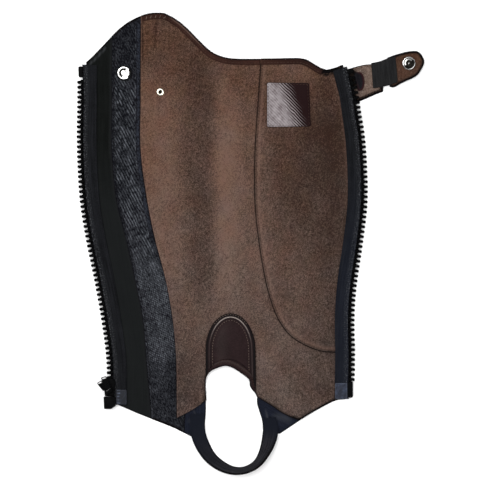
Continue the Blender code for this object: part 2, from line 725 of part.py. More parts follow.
def gripping(name, grip):
    """A moulded block with a slot on one side that the tape's edge sits in."""
    edge = (LEFT_ZIP if grip.opens > 0 else RIGHT_ZIP)(grip.y)
    mouth = grip.x + grip.opens * grip.wide / 2
    back = grip.x - grip.opens * grip.wide / 2
    slot = edge - grip.opens * 2 * SEAM
    half, gap = grip.high / 2, TAPE / 2 + SEAM
    profile = [
        (mouth, half), (back, half), (back, -half), (mouth, -half),
        (mouth, -gap), (slot, -gap), (slot, gap), (mouth, gap),
    ]
    shape = prism([Point(x - grip.x, z) for x, z in profile], -grip.long / 2, grip.long / 2)
    bmesh.ops.rotate(shape, cent=(0, 0, 0), matrix=Matrix.Rotation(pi / 2, 3, "X"), verts=shape.verts)
    block = add_object(name, shape, "zip_plastic", (grip.x, grip.y, tape_middle(grip)))
    bevel = block.modifiers.new("edges", "BEVEL")
    bevel.width = GRIP_BEVEL * MM
    bevel.segments = 2
    bevel.limit_method = "ANGLE"
    return block


def across(name, outline, holes, half_width, middle=0.0):
    """A solid of this side view, extruded along the hinge's axis in the pull tab's own frame."""
    shape = prism(outline, middle - half_width, middle + half_width, holes)
    turn = Matrix.Rotation(pi / 2, 3, "Z") @ Matrix.Rotation(pi / 2, 3, "X")
    bmesh.ops.rotate(shape, cent=(0, 0, 0), matrix=turn, verts=shape.verts)
    return add_object(name, shape, "zip_plastic")


def slider_and_tab():
    """The slider with its two lugs and pin, and the pull tab whose eye turns on that pin."""
    hinge = bpy.data.objects.new("hinge", None)
    bpy.context.scene.collection.objects.link(hinge)
    slider_top = tape_middle(SLIDER) + SLIDER.high / 2
    pin_height = slider_top + EYE_RADIUS + SEAM
    hinge.location = Vector((*HINGE, pin_height)) * MM
    hinge.rotation_euler.z = TAB_TURN

    middle = Point(0.0, 0.0)
    lug_middle = NECK_WIDTH / 2 + LUG_GAP + LUG_THICKNESS / 2
    lug_foot = slider_top - pin_height - GRIP_BEVEL
    lug = [Point(LUG_TOP[0].x, lug_foot), *LUG_TOP, Point(LUG_TOP[-1].x, lug_foot)]
    extras = [across(f"lug_{i}", lug, [], LUG_THICKNESS / 2, i * lug_middle) for i in (-1, 1)]
    extras.append(across("pin", circle(middle, PIN_RADIUS), [], lug_middle))
    for extra in extras:
        extra.parent = hinge
    union(gripping("slider", SLIDER), *extras)

    side = (
        (NECK_WIDTH / 2, (EYE_HOLE + EYE_RADIUS) / 2, 0), (NECK_WIDTH / 2, NECK_LENGTH, 1.5),
        (*TAB_SHOULDER, 2.0), (TAB_WIDTH / 2, TAB_LENGTH, 1.2),
    )
    other_side = tuple((-x, y, radius) for x, y, radius in side[::-1])
    plate = prism(rounded(side + other_side, 1.0), -TAB_THICKNESS / 2, TAB_THICKNESS / 2)
    tab = add_object("pull_tab", plate, "zip_plastic")
    eye_half_width = NECK_WIDTH / 2 + SEAM / 2
    eye = across("eye", circle(middle, EYE_RADIUS), [circle(middle, EYE_HOLE)], eye_half_width)
    for piece in (tab, eye):
        piece.parent = hinge
    union(tab, eye)


def snap_strap():
    """The strap sewn under the zip's top corner: leather root, elastic bridge and leather tip."""
    sheet("strap_base", "strap_suede", rounded(STRAP_BASE_CORNERS), table_gap, LEATHER)
    sheet("strap_patch", "dark_leather", rounded(STRAP_PATCH_CORNERS), on_strap, HEM)
    sheet("strap_elastic", "elastic", rounded(STRAP_ELASTIC_CORNERS), on_strap, ELASTIC)
    sheet(
        "strap_tip", "strap_suede", rounded(STRAP_TIP_CORNERS, 4.0), table_gap, LEATHER,
        holes=[circle(SOCKET, SOCKET_HOLE)],
    )


def fasteners():
    turned("press_stud", "nickel", STUD_PROFILE, PRESS_STUD, table_gap)
    turned("snap_socket", "nickel", SOCKET_PROFILE, SOCKET, table_gap)
    turned("eyelet", "brass", EYELET_PROFILE, EYELET, front_low)


def stirrup_band():
    """The elastic loop that goes under the boot, leaning outwards where it bends."""
    middle = [Point(row.x, row.y) for row in STIRRUP]
    shape = bmesh.new()
    rings = []
    for i, row in enumerate(STIRRUP):
        before, after = middle[max(i - 1, 0)], middle[min(i + 1, len(middle) - 1)]
        run = Vector((after.x - before.x, after.y - before.y, 0.0)).normalized()
        inward = Vector((-run.y, run.x, 0.0))
        lean = sqrt(max(STIRRUP_WIDTH**2 - row.shown**2, 0.0)) if row.low < ELASTIC else 0.0
        span = -inward * row.shown + Vector((0.0, 0.0, lean))
        lift = span.cross(run).normalized() * STIRRUP_THICKNESS
        inner = Vector((row.x, row.y, row.low)) + inward * row.shown / 2
        rings.append([shape.verts.new(p) for p in (inner, inner + span, inner + span + lift, inner + lift)])
    for a, b in zip(rings, rings[1:]):
        for k in range(4):
            shape.faces.new((a[k], a[(k + 1) % 4], b[(k + 1) % 4], b[k]))
    shape.faces.new(rings[0])
    shape.faces.new(rings[-1][::-1])
    add_object("stirrup_band", shape, "stirrup_elastic")


def build():
    clear_scene()
    facing_and_elastic()
    front_panel()
    calf_panel()
    stirrup_anchors()
    arch_leather()
    top_hems()
    label()
    zips()
    for name, grip in (("retainer_box", RETAINER_BOX), ("insertion_pin", INSERTION_PIN)):
        gripping(name, grip)
    slider_and_tab()
    snap_strap()
    fasteners()
    stirrup_band()


build()
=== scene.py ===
"""The looks of a leather half chap laid open on a table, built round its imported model.

Lengths are in millimetres until a mesh is made. X runs across the open chap, Y up the leg towards
the knee, Z up from the table.
"""

import json
from collections import namedtuple
from math import atan2, cos, degrees, hypot, pi, radians, sin, sqrt

import bmesh
import bpy
import numpy as np
from mathutils import Matrix, Vector
from mathutils.bvhtree import BVHTree
from mathutils.geometry import delaunay_2d_cdt

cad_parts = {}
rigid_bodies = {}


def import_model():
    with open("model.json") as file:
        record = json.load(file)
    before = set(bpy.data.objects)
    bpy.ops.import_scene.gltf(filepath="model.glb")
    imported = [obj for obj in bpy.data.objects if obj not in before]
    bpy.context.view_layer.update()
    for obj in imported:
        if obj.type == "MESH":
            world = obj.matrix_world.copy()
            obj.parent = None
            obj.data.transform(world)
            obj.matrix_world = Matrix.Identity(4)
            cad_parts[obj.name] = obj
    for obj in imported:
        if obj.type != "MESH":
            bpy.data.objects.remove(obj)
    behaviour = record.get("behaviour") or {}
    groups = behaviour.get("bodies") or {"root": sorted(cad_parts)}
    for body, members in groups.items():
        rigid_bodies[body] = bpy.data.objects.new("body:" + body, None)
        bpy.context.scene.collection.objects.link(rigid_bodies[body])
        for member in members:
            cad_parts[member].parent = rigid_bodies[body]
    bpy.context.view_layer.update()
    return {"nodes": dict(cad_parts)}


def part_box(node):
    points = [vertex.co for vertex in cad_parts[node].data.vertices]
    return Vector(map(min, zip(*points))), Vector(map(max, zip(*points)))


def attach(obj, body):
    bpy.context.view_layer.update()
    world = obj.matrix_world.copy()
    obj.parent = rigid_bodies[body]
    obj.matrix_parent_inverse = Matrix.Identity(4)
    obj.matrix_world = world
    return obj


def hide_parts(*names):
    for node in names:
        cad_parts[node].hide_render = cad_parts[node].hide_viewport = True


for leftover in list(bpy.data.objects):
    bpy.data.objects.remove(leftover)
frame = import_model()

MM = 0.001
WELD = 0.002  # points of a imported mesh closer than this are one
CHUNK = 1500  # how many points a table of distances takes at a time
SHARP = radians(28)  # an outline that turns more than this at a point keeps its corner there
CREASE_ANGLE = radians(38)  # faces that meet more sharply than this aren't shaded smooth
TURNED_ANGLE = radians(50)  # the same for turned metal
UNDERSIDE = -0.5  # faces whose normals point further down than this are a sheet's underside
BELOW_TABLE = -50.0
OVER_TABLE = 2.0
RNG = np.random.default_rng(7)
SPECKS = np.random.default_rng(5).random((128, 128))
LOOKS = {}  # every material, by name
PIECES = {}  # every piece, by name
SHEETS = {}  # every sheet made, by the node that it stands for


def table(columns, *rows):
    """Rows of numbers with names for their columns."""
    kind = namedtuple("TableRow", columns)
    return [kind(*row) for row in rows]


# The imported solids


def packed(node):
    """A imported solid's mesh, welded and in millimetres."""
    shape = bmesh.new()
    shape.from_mesh(frame["nodes"][node].data)
    bmesh.ops.scale(shape, vec=(1 / MM,) * 3, verts=shape.verts)
    bmesh.ops.remove_doubles(shape, verts=shape.verts, dist=WELD)
    bmesh.ops.triangulate(shape, faces=shape.faces)
    shape.verts.index_update()
    return shape


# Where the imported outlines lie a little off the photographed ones: every plan shape near a place
# moves with it, so that the seams between them stay closed.
SHIFTS = table(
    "x y reach across up",
    (-119, 248, 35, 0.3, -1.2), (-157, 215, 24, 0.6, -0.5), (-41, 205, 25, 0.0, 0.5),
    (-186, 165, 30, 0.5, 0.0), (-165, -50, 55, 0.35, 0.0), (-180, 194, 6, -0.3, 0.8),
    (68, 196, 14, 0.0, 0.4), (103, 192, 9, 0.0, 1.8), (112, 189, 5.5, 0.0, -2.6),
    (117, 146, 20, -1.4, 0.0), (121, 47, 32, 0.9, 0.0), (112, -61, 32, -0.8, 0.0),
    (147, 170, 9, 0.0, -1.6), (138, 195, 7, 0.0, -1.1), (40, -197, 18, 0.0, -1.5),
    (86, -180, 26, 0.0, -0.8), (99, -168, 9, 0.0, -0.5), (29, -206, 7, 0.2, -0.6),
    (9, -172, 15, -1.6, 0.0), (11, -188, 8, -1.0, 0.0), (-68, -206, 12, -0.2, -0.6),
    (-49, -171, 14, 1.2, 0.0), (-36, -134, 11, 0.4, -0.8),
)


def shifted(spots):
    """Plan points moved by the shifts near them."""
    moved = spots.copy()
    for shift in SHIFTS:
        away = np.hypot(spots[:, 0] - shift.x, spots[:, 1] - shift.y)
        moved += np.exp(-((away / shift.reach) ** 2))[:, None] * (shift.across, shift.up)
    return moved


class Form:
    """A packed sheet in millimetres: its outline and holes in plan, and its underside's height."""

    def __init__(self, node):
        shape = packed(node)
        points = np.array([vert.co[:] for vert in shape.verts])
        under = [face for face in shape.faces if face.normal.z < UNDERSIDE]
        corners = [[vert.index for vert in face.verts] for face in under]
        self.tree = BVHTree.FromPolygons([tuple(point) for point in points], corners)
        facing_down = set(under)
        following = {}
        for face in under:
            for corner in face.loops:
                if not facing_down.issuperset(corner.edge.link_faces):
                    following[corner.link_loop_next.vert.index] = corner.vert.index
        shape.free()
        loops = []
        while following:
            start, here = following.popitem()
            loop = [start]
            while here != start:
                loop.append(here)
                here = following.pop(here)
            loops.append(shifted(points[loop, :2]))
        self.outline, *self.holes = sorted(loops, key=lambda loop: -abs(area_of(loop)))

    def heights(self, spots):
        """Height of the underside at each point in plan."""
        found = []
        for x, y in spots:
            hit = self.tree.ray_cast((x, y, BELOW_TABLE), (0, 0, 1))[0]
            if hit is None:
                hit = self.tree.find_nearest((x, y, OVER_TABLE))[0]
            found.append(hit.z)
        return np.array(found)


def area_of(loop):
    x, y = loop[:, 0], loop[:, 1]
    return 0.5 * np.sum(x * np.roll(y, -1) - y * np.roll(x, -1))


# Lines in plan


def unit(vectors):
    return vectors / np.maximum(np.linalg.norm(vectors, axis=-1, keepdims=True), 1e-9)


def turning(back, ahead):
    """The angle between each pair of directions."""
    across = back[:, 0] * ahead[:, 1] - back[:, 1] * ahead[:, 0]
    return np.abs(np.arctan2(across, np.sum(back * ahead, axis=1)))


def smooth(points, step, closed=True):
    """A line through all of points, rounded except at its corners, sampled about step apart."""
    points = np.asarray(points, float)
    spans = np.roll(points, -1, 0) - points
    lengths = np.linalg.norm(spans, axis=1)
    ahead = unit(spans)
    back = np.roll(ahead, 1, 0)
    weighted = unit(back * lengths[:, None] + ahead * np.roll(lengths, 1)[:, None])
    corner = turning(back, ahead)[:, None] > SHARP
    if not closed:
        corner[[0, -1]] = True
    leaving = np.where(corner, ahead, weighted)
    arriving = np.where(corner, back, weighted)
    line = []
    for i in range(len(points) if closed else len(points) - 1):
        j = (i + 1) % len(points)
        count = max(1, round(lengths[i] / step))
        t = (np.arange(count) / count)[:, None]
        line.append(
            points[i] * (2 * t**3 - 3 * t**2 + 1)
            + points[j] * (3 * t**2 - 2 * t**3)
            + lengths[i] * leaving[i] * (t**3 - 2 * t**2 + t)
            + lengths[i] * arriving[j] * (t**3 - t**2)
        )
    if not closed:
        line.append(points[-1:])
    return np.concatenate(line)


def beside(line, distance, closed=False):
    """The line moved to its left by distance."""
    before, after = np.roll(line, 1, 0), np.roll(line, -1, 0)
    if not closed:
        before[0], after[-1] = line[0], line[-1]
    run = unit(after - before)
    return line + distance * np.stack([-run[:, 1], run[:, 0]], axis=1)


def in_chunks(work, spots, line):
    """work(spots, line) on a few points at a time, so that its tables stay small."""
    return np.concatenate([work(spots[i:i + CHUNK], line) for i in range(0, len(spots), CHUNK)])


def nearest(spots, line):
    """How far each point is from a line, and how far along the line its nearest place is."""
    run = np.diff(line, axis=0)
    lengths = np.linalg.norm(run, axis=1)
    reach = np.concatenate([[0], np.cumsum(lengths)[:-1]])
    to = spots[:, None, :] - line[None, :-1]
    t = np.clip(np.einsum("ijk,jk->ij", to, run) / lengths**2, 0, 1)
    off = to - t[..., None] * run
    gaps = np.einsum("ijk,ijk->ij", off, off)
    pick = gaps.argmin(axis=1)
    rows = np.arange(len(spots))
    return np.column_stack([np.sqrt(gaps[rows, pick]), (reach + t * lengths)[rows, pick]])


def measured(spots, line):
    return in_chunks(nearest, np.asarray(spots, float), line).T


def distance_to(spots, line, closed=False):
    if closed:
        line = np.concatenate([line, line[:1]])
    return measured(spots, line)[0]


def crossings(spots, loop):
    a, b = loop[None], np.roll(loop, -1, 0)[None]
    x, y = spots[:, 0:1], spots[:, 1:2]
    straddles = (a[..., 1] > y) != (b[..., 1] > y)
    rise = np.where(straddles, b[..., 1] - a[..., 1], 1.0)
    return np.sum(straddles & (x < a[..., 0] + (y - a[..., 1]) * (b[..., 0] - a[..., 0]) / rise), axis=1)


def inside(spots, loop):
    return in_chunks(crossings, np.asarray(spots, float), loop) % 2 == 1


def along(line, step):
    """Points step apart along a line, with the direction of the line at each."""
    spans = np.diff(line, axis=0)
    reach = np.concatenate([[0], np.cumsum(np.linalg.norm(spans, axis=1))])
    places = np.arange(step / 2, reach[-1], step)
    spots = np.stack([np.interp(places, reach, line[:, k]) for k in range(2)], axis=1)
    ways = unit(spans)[np.clip(np.searchsorted(reach, places) - 1, 0, len(spans) - 1)]
    return spots, ways


def part_of(loop, keep):
    """The longest run of a closed line's points that keep marks."""
    runs = []
    for start in np.flatnonzero(keep & ~np.roll(keep, 1)):
        runs.append(np.roll(loop, -start, 0)[:np.argmin(np.roll(keep, -start))])
    return max(runs, key=len)


def long_sides(loop):
    """The two long sides of a strip's outline, each from its foot up, the left one first."""
    back, ahead = unit(loop - np.roll(loop, 1, 0)), unit(np.roll(loop, -1, 0) - loop)
    corners = sorted(np.argsort(-turning(back, ahead))[:4])
    runs = []
    for i, j in zip(corners, corners[1:] + corners[:1]):
        runs.append(np.roll(loop, -i, 0)[:(j - i) % len(loop) + 1])
    runs.sort(key=lambda run: -np.linalg.norm(np.diff(run, axis=0), axis=1).sum())
    upright = [run if run[-1][1] > run[0][1] else run[::-1] for run in runs[:2]]
    return sorted(upright, key=lambda run: run[0][0])


def bump_at(distance, middle, width, height=1.0):
    """A soft ridge, or a trough where height is below zero, at a distance from a line."""
    return height * np.exp(-((distance - middle) / width) ** 2)


def eased_in(value, start, stop):
    """0 before start and 1 after stop, with a smooth turn between."""
    t = np.clip((value - start) / (stop - start), 0, 1)
    return t * t * (3 - 2 * t)


def within(value, width):
    """1 where value is well under width and 0 over it."""
    return np.clip(width - value, 0, 1)


def from_point(spots, point):
    return np.hypot(*(spots - point).T)


# Meshes


class Mesh:
    """Points, faces and their material slots, gathered before an object is made of them."""

    def __init__(self):
        self.points = []
        self.faces = []
        self.slots = []

    def add(self, points, faces, place=Matrix(), slot=0):
        start = len(self.points)
        self.points += [place @ Vector(point) for point in points]
        self.faces += [[start + i for i in face] for face in faces]
        self.slots += [slot] * len(faces)

    def face_out(self):
        """Turns every face to look outwards."""
        shape = bmesh.new()
        points = [shape.verts.new(point) for point in self.points]
        for face in self.faces:
            shape.faces.new([points[i] for i in face])
        bmesh.ops.recalc_face_normals(shape, faces=shape.faces)
        shape.verts.index_update()
        self.faces = [[vert.index for vert in face.verts] for face in shape.faces]
        shape.free()

    def made(self, name, looks, sharp=CREASE_ANGLE):
        """The object, in metres, shaded smooth but for edges sharper than sharp."""
        mesh = bpy.data.meshes.new(name)
        mesh.from_pydata([point * MM for point in self.points], [], self.faces)
        for look in looks:
            mesh.materials.append(LOOKS[look])
        mesh.polygons.foreach_set("material_index", self.slots)
        mesh.shade_smooth()
        if sharp:
            mesh.set_sharp_from_angle(angle=sharp)
        piece = bpy.data.objects.new(name, mesh)
        bpy.context.scene.collection.objects.link(piece)
        return piece

    def fitted(self, name, looks, slot, node=None, body="chap", **shading):
        """The object as a piece that rides on a body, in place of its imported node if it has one."""
        piece = self.made(name, looks, **shading)
        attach(piece, body)
        if node:
            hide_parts(node)
        PIECES[name] = piece
        return piece


def mark(piece, name, values):
    """Keeps a number, or three, for each point of the mesh, for its material to read."""
    kind = "FLOAT" if values.ndim == 1 else "FLOAT_VECTOR"
    kept = piece.data.attributes.new(name, kind, "POINT")
    kept.data.foreach_set("value" if values.ndim == 1 else "vector", values.astype(np.float32).ravel())


def layered(outline, layers):
    """Points and faces of a solid whose plan is outline drawn in by inset at each (z, inset)."""
    outline = np.asarray(outline, float)
    if area_of(outline) < 0:
        outline = outline[::-1]
    count = len(outline)
    points, faces = [], [list(range(count))[::-1]]
    for z, inset in layers:
        points += [(*spot, z) for spot in beside(outline, inset, closed=True)]
    for level in range(len(layers) - 1):
        for i in range(count):
            j = (i + 1) % count
            a, b = level * count, (level + 1) * count
            faces.append([a + i, a + j, b + j, b + i])
    faces.append([(len(layers) - 1) * count + i for i in range(count)])
    return points, faces


def rounded(corners, step=0.5):
    """A closed outline of corners (x, y, radius), each turned with an arc of its radius."""
    outline = []
    for i, (x, y, radius) in enumerate(corners):
        here = np.array((x, y), float)
        before = unit(np.array(corners[i - 1][:2]) - here)
        after = unit(np.array(corners[(i + 1) % len(corners)][:2]) - here)
        half = np.arccos(np.clip(before @ after, -1, 1)) / 2
        centre = here + unit(before + after) * radius / sin(half)
        first = here + before * radius / np.tan(half) - centre
        last = here + after * radius / np.tan(half) - centre
        turn = np.arctan2(first[0] * last[1] - first[1] * last[0], first @ last)
        for t in np.linspace(0, turn, max(3, round(abs(turn) * radius / step) + 1)):
            spin = np.array(((cos(t), -sin(t)), (sin(t), cos(t))))
            outline.append(centre + spin @ first)
    return np.array(outline)


def block(width, length, radius):
    """The plan of a rounded rectangle round the origin."""
    x, y = width / 2, length / 2
    return rounded(((x, y, radius), (-x, y, radius), (-x, -y, radius), (x, -y, radius)))


def eased(height, radius):
    """Layers of a solid of this height about z = 0 with its edges rounded to radius."""
    turns = [radians(a) for a in (0, 30, 60, 90)]
    lower = [(-height / 2 + radius * (1 - sin(t)), radius * (1 - cos(t))) for t in turns[::-1]]
    return lower + [(-z, inset) for z, inset in lower[::-1]]


def circle(radius, sides=32):
    turns = 2 * pi * np.arange(sides) / sides
    return radius * np.stack([np.cos(turns), np.sin(turns)], axis=1)


def lathe(profile, sides=64):
    """Points and faces of a profile of (radius, z) turned about the Z axis."""
    points, faces = [], []
    for i in range(sides):
        t = 2 * pi * i / sides
        points += [(radius * cos(t), radius * sin(t), z) for radius, z in profile]
    rows = len(profile)
    closes = profile[0][0] > 0
    for i in range(sides):
        a, b = i * rows, (i + 1) % sides * rows
        for k in range(rows if closes else rows - 1):
            n = (k + 1) % rows
            faces.append([a + k, a + n, b + n, b + k])
    return points, faces


# Sheets

RIM_RINGS = (0.28, 0.75)  # rings of points this far inside a sheet's edge, in thicknesses
RIM_DROP = 0.3  # how far a sheet's edge is rounded down and up, in thicknesses
EVEN_REACH = 6.0  # over how far the steps of a sheet's underside are evened out
HOLE_STEP = 0.6  # how far apart the points of a hole's rim are
RING_CLEAR = 0.93  # the least share of its ring's depth that a ring's point keeps to every edge
GRID_CLEAR = 0.5  # how far the even lattice keeps from the inner ring, in spacings
SAME_SPOT = 1e-4
SLIVER = 1e-5  # twice the area of a triangle that is left out

# Each sheet: how its piece's name ends, the looks of its top, underside and cut edge, its slot, its
# thickness, how far apart its points are, and how far it is drawn out to close a seam.
Cut = namedtuple("Cut", "kind looks slot thickness spacing grow", defaults=[0.0])
CUTS = {
    "front_panel": Cut("suede", "suede outer_leather cut_suede", "suede", 1.8, 2.4),
    "calf_panel": Cut("suede", "suede outer_leather cut_suede", "suede", 1.8, 2.4),
    "elastic_panel": Cut("cloth", "elastic elastic elastic", "elastic", 1.4, 0.72, 0.28),
    "zip_facing": Cut("cloth", "facing facing facing", "facing", 1.6, 2.0),
    "zip_tape_left": Cut("cloth", "zip_tape zip_tape zip_tape", "zip_tape", 1.1, 1.1),
    "zip_tape_right": Cut("cloth", "zip_tape zip_tape zip_tape", "zip_tape", 1.1, 1.1),
    "arch_patch": Cut("leather", "dark_leather dark_leather painted_edge", "dark_leather", 1.4, 0.72),
    "arch_rim": Cut("leather", "dark_leather dark_leather painted_edge", "dark_leather", 1.4, 0.9),
    "anchor_left": Cut("webbing", "anchor_webbing " * 3, "stirrup_elastic", 1.4, 1.1),
    "anchor_right": Cut("webbing", "anchor_webbing " * 3, "stirrup_elastic", 1.4, 1.1),
    "top_hem_front": Cut("leather", "hem_leather hem_leather painted_edge", "hem_leather", 1.0, 1.0),
    "top_hem_calf": Cut("leather", "hem_leather hem_leather painted_edge", "hem_leather", 1.0, 1.0),
    "label": Cut("bare", "label label painted_edge", "label", 0.8, 0.9),
    "film_left": Cut("melted", "film film film", "film", 0.6, 0.7),
    "film_right": Cut("melted", "film film film", "film", 0.6, 0.7),
    "strap_base": Cut("leather", "strap_suede outer_leather painted_edge", "strap_suede", 1.8, 1.1),
    "strap_patch": Cut("leather", "black_leather black_leather painted_edge", "dark_leather", 1.0, 0.8, 0.9),
    "strap_elastic": Cut("cloth", "strap_elastic " * 3, "elastic", 1.4, 0.8),
    "strap_tip": Cut("leather", "tip_suede outer_leather painted_edge", "strap_suede", 1.8, 1.0),
}
FORMS = {node: Form(node) for node in CUTS}


def lattice(outline, holes, spacing, rings):
    """Points and triangles of a plan region: its rims, rings inside them, and an even lattice."""
    loops = [outline, *holes]
    inner_sides = [np.sign(area_of(outline)), *[-np.sign(area_of(hole)) for hole in holes]]
    edges, start = [], 0
    for loop in loops:
        edges += [(start + i, start + (i + 1) % len(loop)) for i in range(len(loop))]
        start += len(loop)

    def clearance(spots):
        return np.min([distance_to(spots, loop, closed=True) for loop in loops], axis=0)

    def kept(spots):
        keep = inside(spots, outline)
        for hole in holes:
            keep &= ~inside(spots, hole)
        return keep

    added = []
    for ring in rings:
        spots = np.concatenate([
            beside(loop, ring * side, closed=True) for loop, side in zip(loops, inner_sides)
        ])
        added.append(spots[kept(spots) & (clearance(spots) > RING_CLEAR * ring)])
    low, high = outline.min(axis=0), outline.max(axis=0)
    columns = np.arange(low[0], high[0], spacing)
    rows = np.arange(low[1], high[1], spacing * sqrt(3) / 2)
    grid = np.concatenate([
        np.stack([columns + (i % 2) * spacing / 2, np.full(len(columns), y)], axis=1)
        for i, y in enumerate(rows)
    ])
    grid = grid[kept(grid)]
    added.append(grid[clearance(grid) > rings[-1] + GRID_CLEAR * spacing])
    points = [Vector(spot) for spot in np.concatenate([*loops, *added])]
    spots, _, faces, *_ = delaunay_2d_cdt(points, edges, [], 0, SAME_SPOT)
    spots = np.array([tuple(spot) for spot in spots])
    faces = np.array(faces)
    faces = faces[kept(spots[faces].mean(axis=1))]
    a, b, c = (spots[faces[:, k]] for k in range(3))
    size = (b - a)[:, 0] * (c - a)[:, 1] - (b - a)[:, 1] * (c - a)[:, 0]
    return spots, faces[np.abs(size) > SLIVER], clearance(spots)


def settle(values, faces, rounds):
    """Evens out a number kept at each point over the points joined to it."""
    a = np.concatenate([faces[:, 0], faces[:, 1], faces[:, 2]])
    b = np.concatenate([faces[:, 1], faces[:, 2], faces[:, 0]])
    size = len(values)
    count = np.bincount(a, minlength=size) + np.bincount(b, minlength=size)
    for _ in range(rounds):
        total = np.bincount(a, values[b], size) + np.bincount(b, values[a], size)
        values = 0.4 * values + 0.6 * total / np.maximum(count, 1)
    return values


class Sheet(namedtuple("Sheet", "piece spots edge outline area")):
    """A finished sheet, with its mesh's points in plan and how far each is from its edge."""

    def away(self, line):
        return distance_to(self.spots, line)

    def mark(self, **marks):
        for name, values in marks.items():
            mark(self.piece, name, values)

    def mark_strip(self, line):
        """Keeps how far each point lies across from a line and along it."""
        across, reach = measured(self.spots, line)
        self.mark(strip=np.column_stack([across, reach, np.zeros(len(across))]))

    def inwards(self, line, distance):
        """One of the sheet's own edges moved onto the sheet."""
        middle = len(line) // 2
        across, up = line[middle + 1] - line[middle - 1]
        left = line[middle] + 3.0 * unit(np.array((-up, across)))
        moved = beside(line, distance if inside([left], self.outline)[0] else -distance)
        return moved[inside(moved, self.outline)]


def sheet(node, relief):
    """A shell on a packed sheet's form. relief gives the height of its surface's detail at each
    point from its place and distance to the edge."""
    form, cut = FORMS[node], CUTS[node]
    thickness, spacing = cut.thickness, cut.spacing
    outline = smooth(form.outline, spacing)
    if cut.grow:
        outline = beside(outline, -cut.grow * np.sign(area_of(outline)), closed=True)
    holes = [smooth(hole, HOLE_STEP) for hole in form.holes]
    rings = [ring * thickness for ring in RIM_RINGS]
    spots, faces, edge = lattice(outline, holes, spacing, rings)
    low = settle(form.heights(spots), faces, round((EVEN_REACH / spacing) ** 2))
    fall = RIM_DROP * thickness * np.clip(1 - edge / rings[-1], 0, 1) ** 2
    high = low + thickness - fall + relief(spots, edge)
    count = len(spots)
    used = np.unique(faces)
    sides = {(a, b) for face in faces.tolist() for a, b in zip(face, face[1:] + face[:1])}
    rim = [(a, b) for a, b in sides if (b, a) not in sides]
    order = np.full(2 * count, -1)
    order[used] = np.arange(len(used))
    order[count + used] = len(used) + np.arange(len(used))
    mesh = Mesh()
    top = np.column_stack([spots, high])
    bottom = np.column_stack([spots, low + fall])
    mesh.points = [Vector(p) for p in np.concatenate([top[used], bottom[used]]).tolist()]
    up = order[faces].tolist()
    down = order[count + faces[:, ::-1]].tolist()
    walls = [[order[a], order[count + a], order[count + b], order[b]] for a, b in rim]
    mesh.faces = up + down + [[int(i) for i in wall] for wall in walls]
    mesh.slots = [0] * len(up) + [1] * len(down) + [2] * len(walls)
    piece = mesh.fitted(f"{node}_{cut.kind}", cut.looks.split(), cut.slot, node, sharp=None)
    both = np.concatenate([used, used])
    area = abs(area_of(outline)) - sum(abs(area_of(hole)) for hole in holes)
    made = Sheet(piece, spots[both], edge[both], outline, area)
    made.mark(edge=made.edge)
    SHEETS[node] = made
    return made


def declare(rests_on, with_pieces):
    """Looks up by name the pieces that a laid sheet rests on and the pieces that go with it."""
    [PIECES[name] for name in rests_on.split()]
    [PIECES[name] for name in with_pieces.split()]


THREAD_SIDES = 6
THREAD_TIP = 0.6  # how thick a thread's ends are, in shares of its middle
THREAD_SWAY = 0.05  # how unevenly the threads are turned, in radians
THREAD_BEND = ((0.0, -0.7), (0.12, 0.1), (0.35, 0.55), (0.65, 0.55), (0.88, 0.1), (1.0, -0.7))


def stitches(name, surfaces, lines, look, slot, length=2.7, gap=0.8, thread=0.28, slant=0.08):
    """A row of stitches along each plan line: threads that rise from the cloth and dip back in."""
    graph = bpy.context.evaluated_depsgraph_get()
    trees = [BVHTree.FromObject(surface, graph) for surface in surfaces]

    def top(place):
        found = [tree.ray_cast((place.x * MM, place.y * MM, 0.1), (0, 0, -1))[0] for tree in trees]
        return max((hit.z / MM for hit in found if hit), default=None)

    mesh = Mesh()
    sides = THREAD_SIDES
    for line in lines:
        spots, ways = along(line, length + gap)
        for (x, y), (dx, dy) in zip(spots, ways):
            turn = slant + THREAD_SWAY * RNG.standard_normal()
            run = Vector((dx * cos(turn) - dy * sin(turn), dx * sin(turn) + dy * cos(turn), 0.0))
            out = Vector((-run.y, run.x, 0.0))
            start = Vector((x, y, 0.0)) - run * length / 2
            ends = [top(start + run * length * t) for t in (0.0, 1.0)]
            if None in ends:
                continue
            points = []
            for t, bend in THREAD_BEND:
                centre = start + run * length * t
                centre.z = ends[0] + (ends[1] - ends[0]) * t + bend * thread
                size = thread * (THREAD_TIP if t in (0.0, 1.0) else 1.0)
                for k in range(sides):
                    a = 2 * pi * k / sides
                    points.append(centre + out * size * cos(a) + Vector((0, 0, size * sin(a))))
            faces = [list(range(sides)), [len(points) - 1 - k for k in range(sides)]]
            for ring in range(len(THREAD_BEND) - 1):
                for k in range(sides):
                    a, b, n = ring * sides, (ring + 1) * sides, (k + 1) % sides
                    faces.append([a + n, a + k, b + k, b + n])
            mesh.add(points, faces)
    mesh.fitted(name, [look], slot, sharp=None)


# Materials

RIB_TURN = radians(27)  # how far the elastic's ribs lean from upright, to the left at their tops
LIGHT = 1.9  # how bright a white surface lies under the studio light
MIX_AMOUNT, MIX_FIRST, MIX_SECOND, MIX_RESULT = 0, 6, 7, 2  # the colour sockets of a Mix node


def paint(red, green, blue):
    """The surface colour that shows as this screen colour (0 to 255) under the studio light."""
    shown = [c / 255 for c in (red, green, blue)]
    linear = [((c + 0.055) / 1.055) ** 2.4 if c > 10 / 255 else c / 12.92 for c in shown]
    return (*[value / LIGHT for value in linear], 1.0)


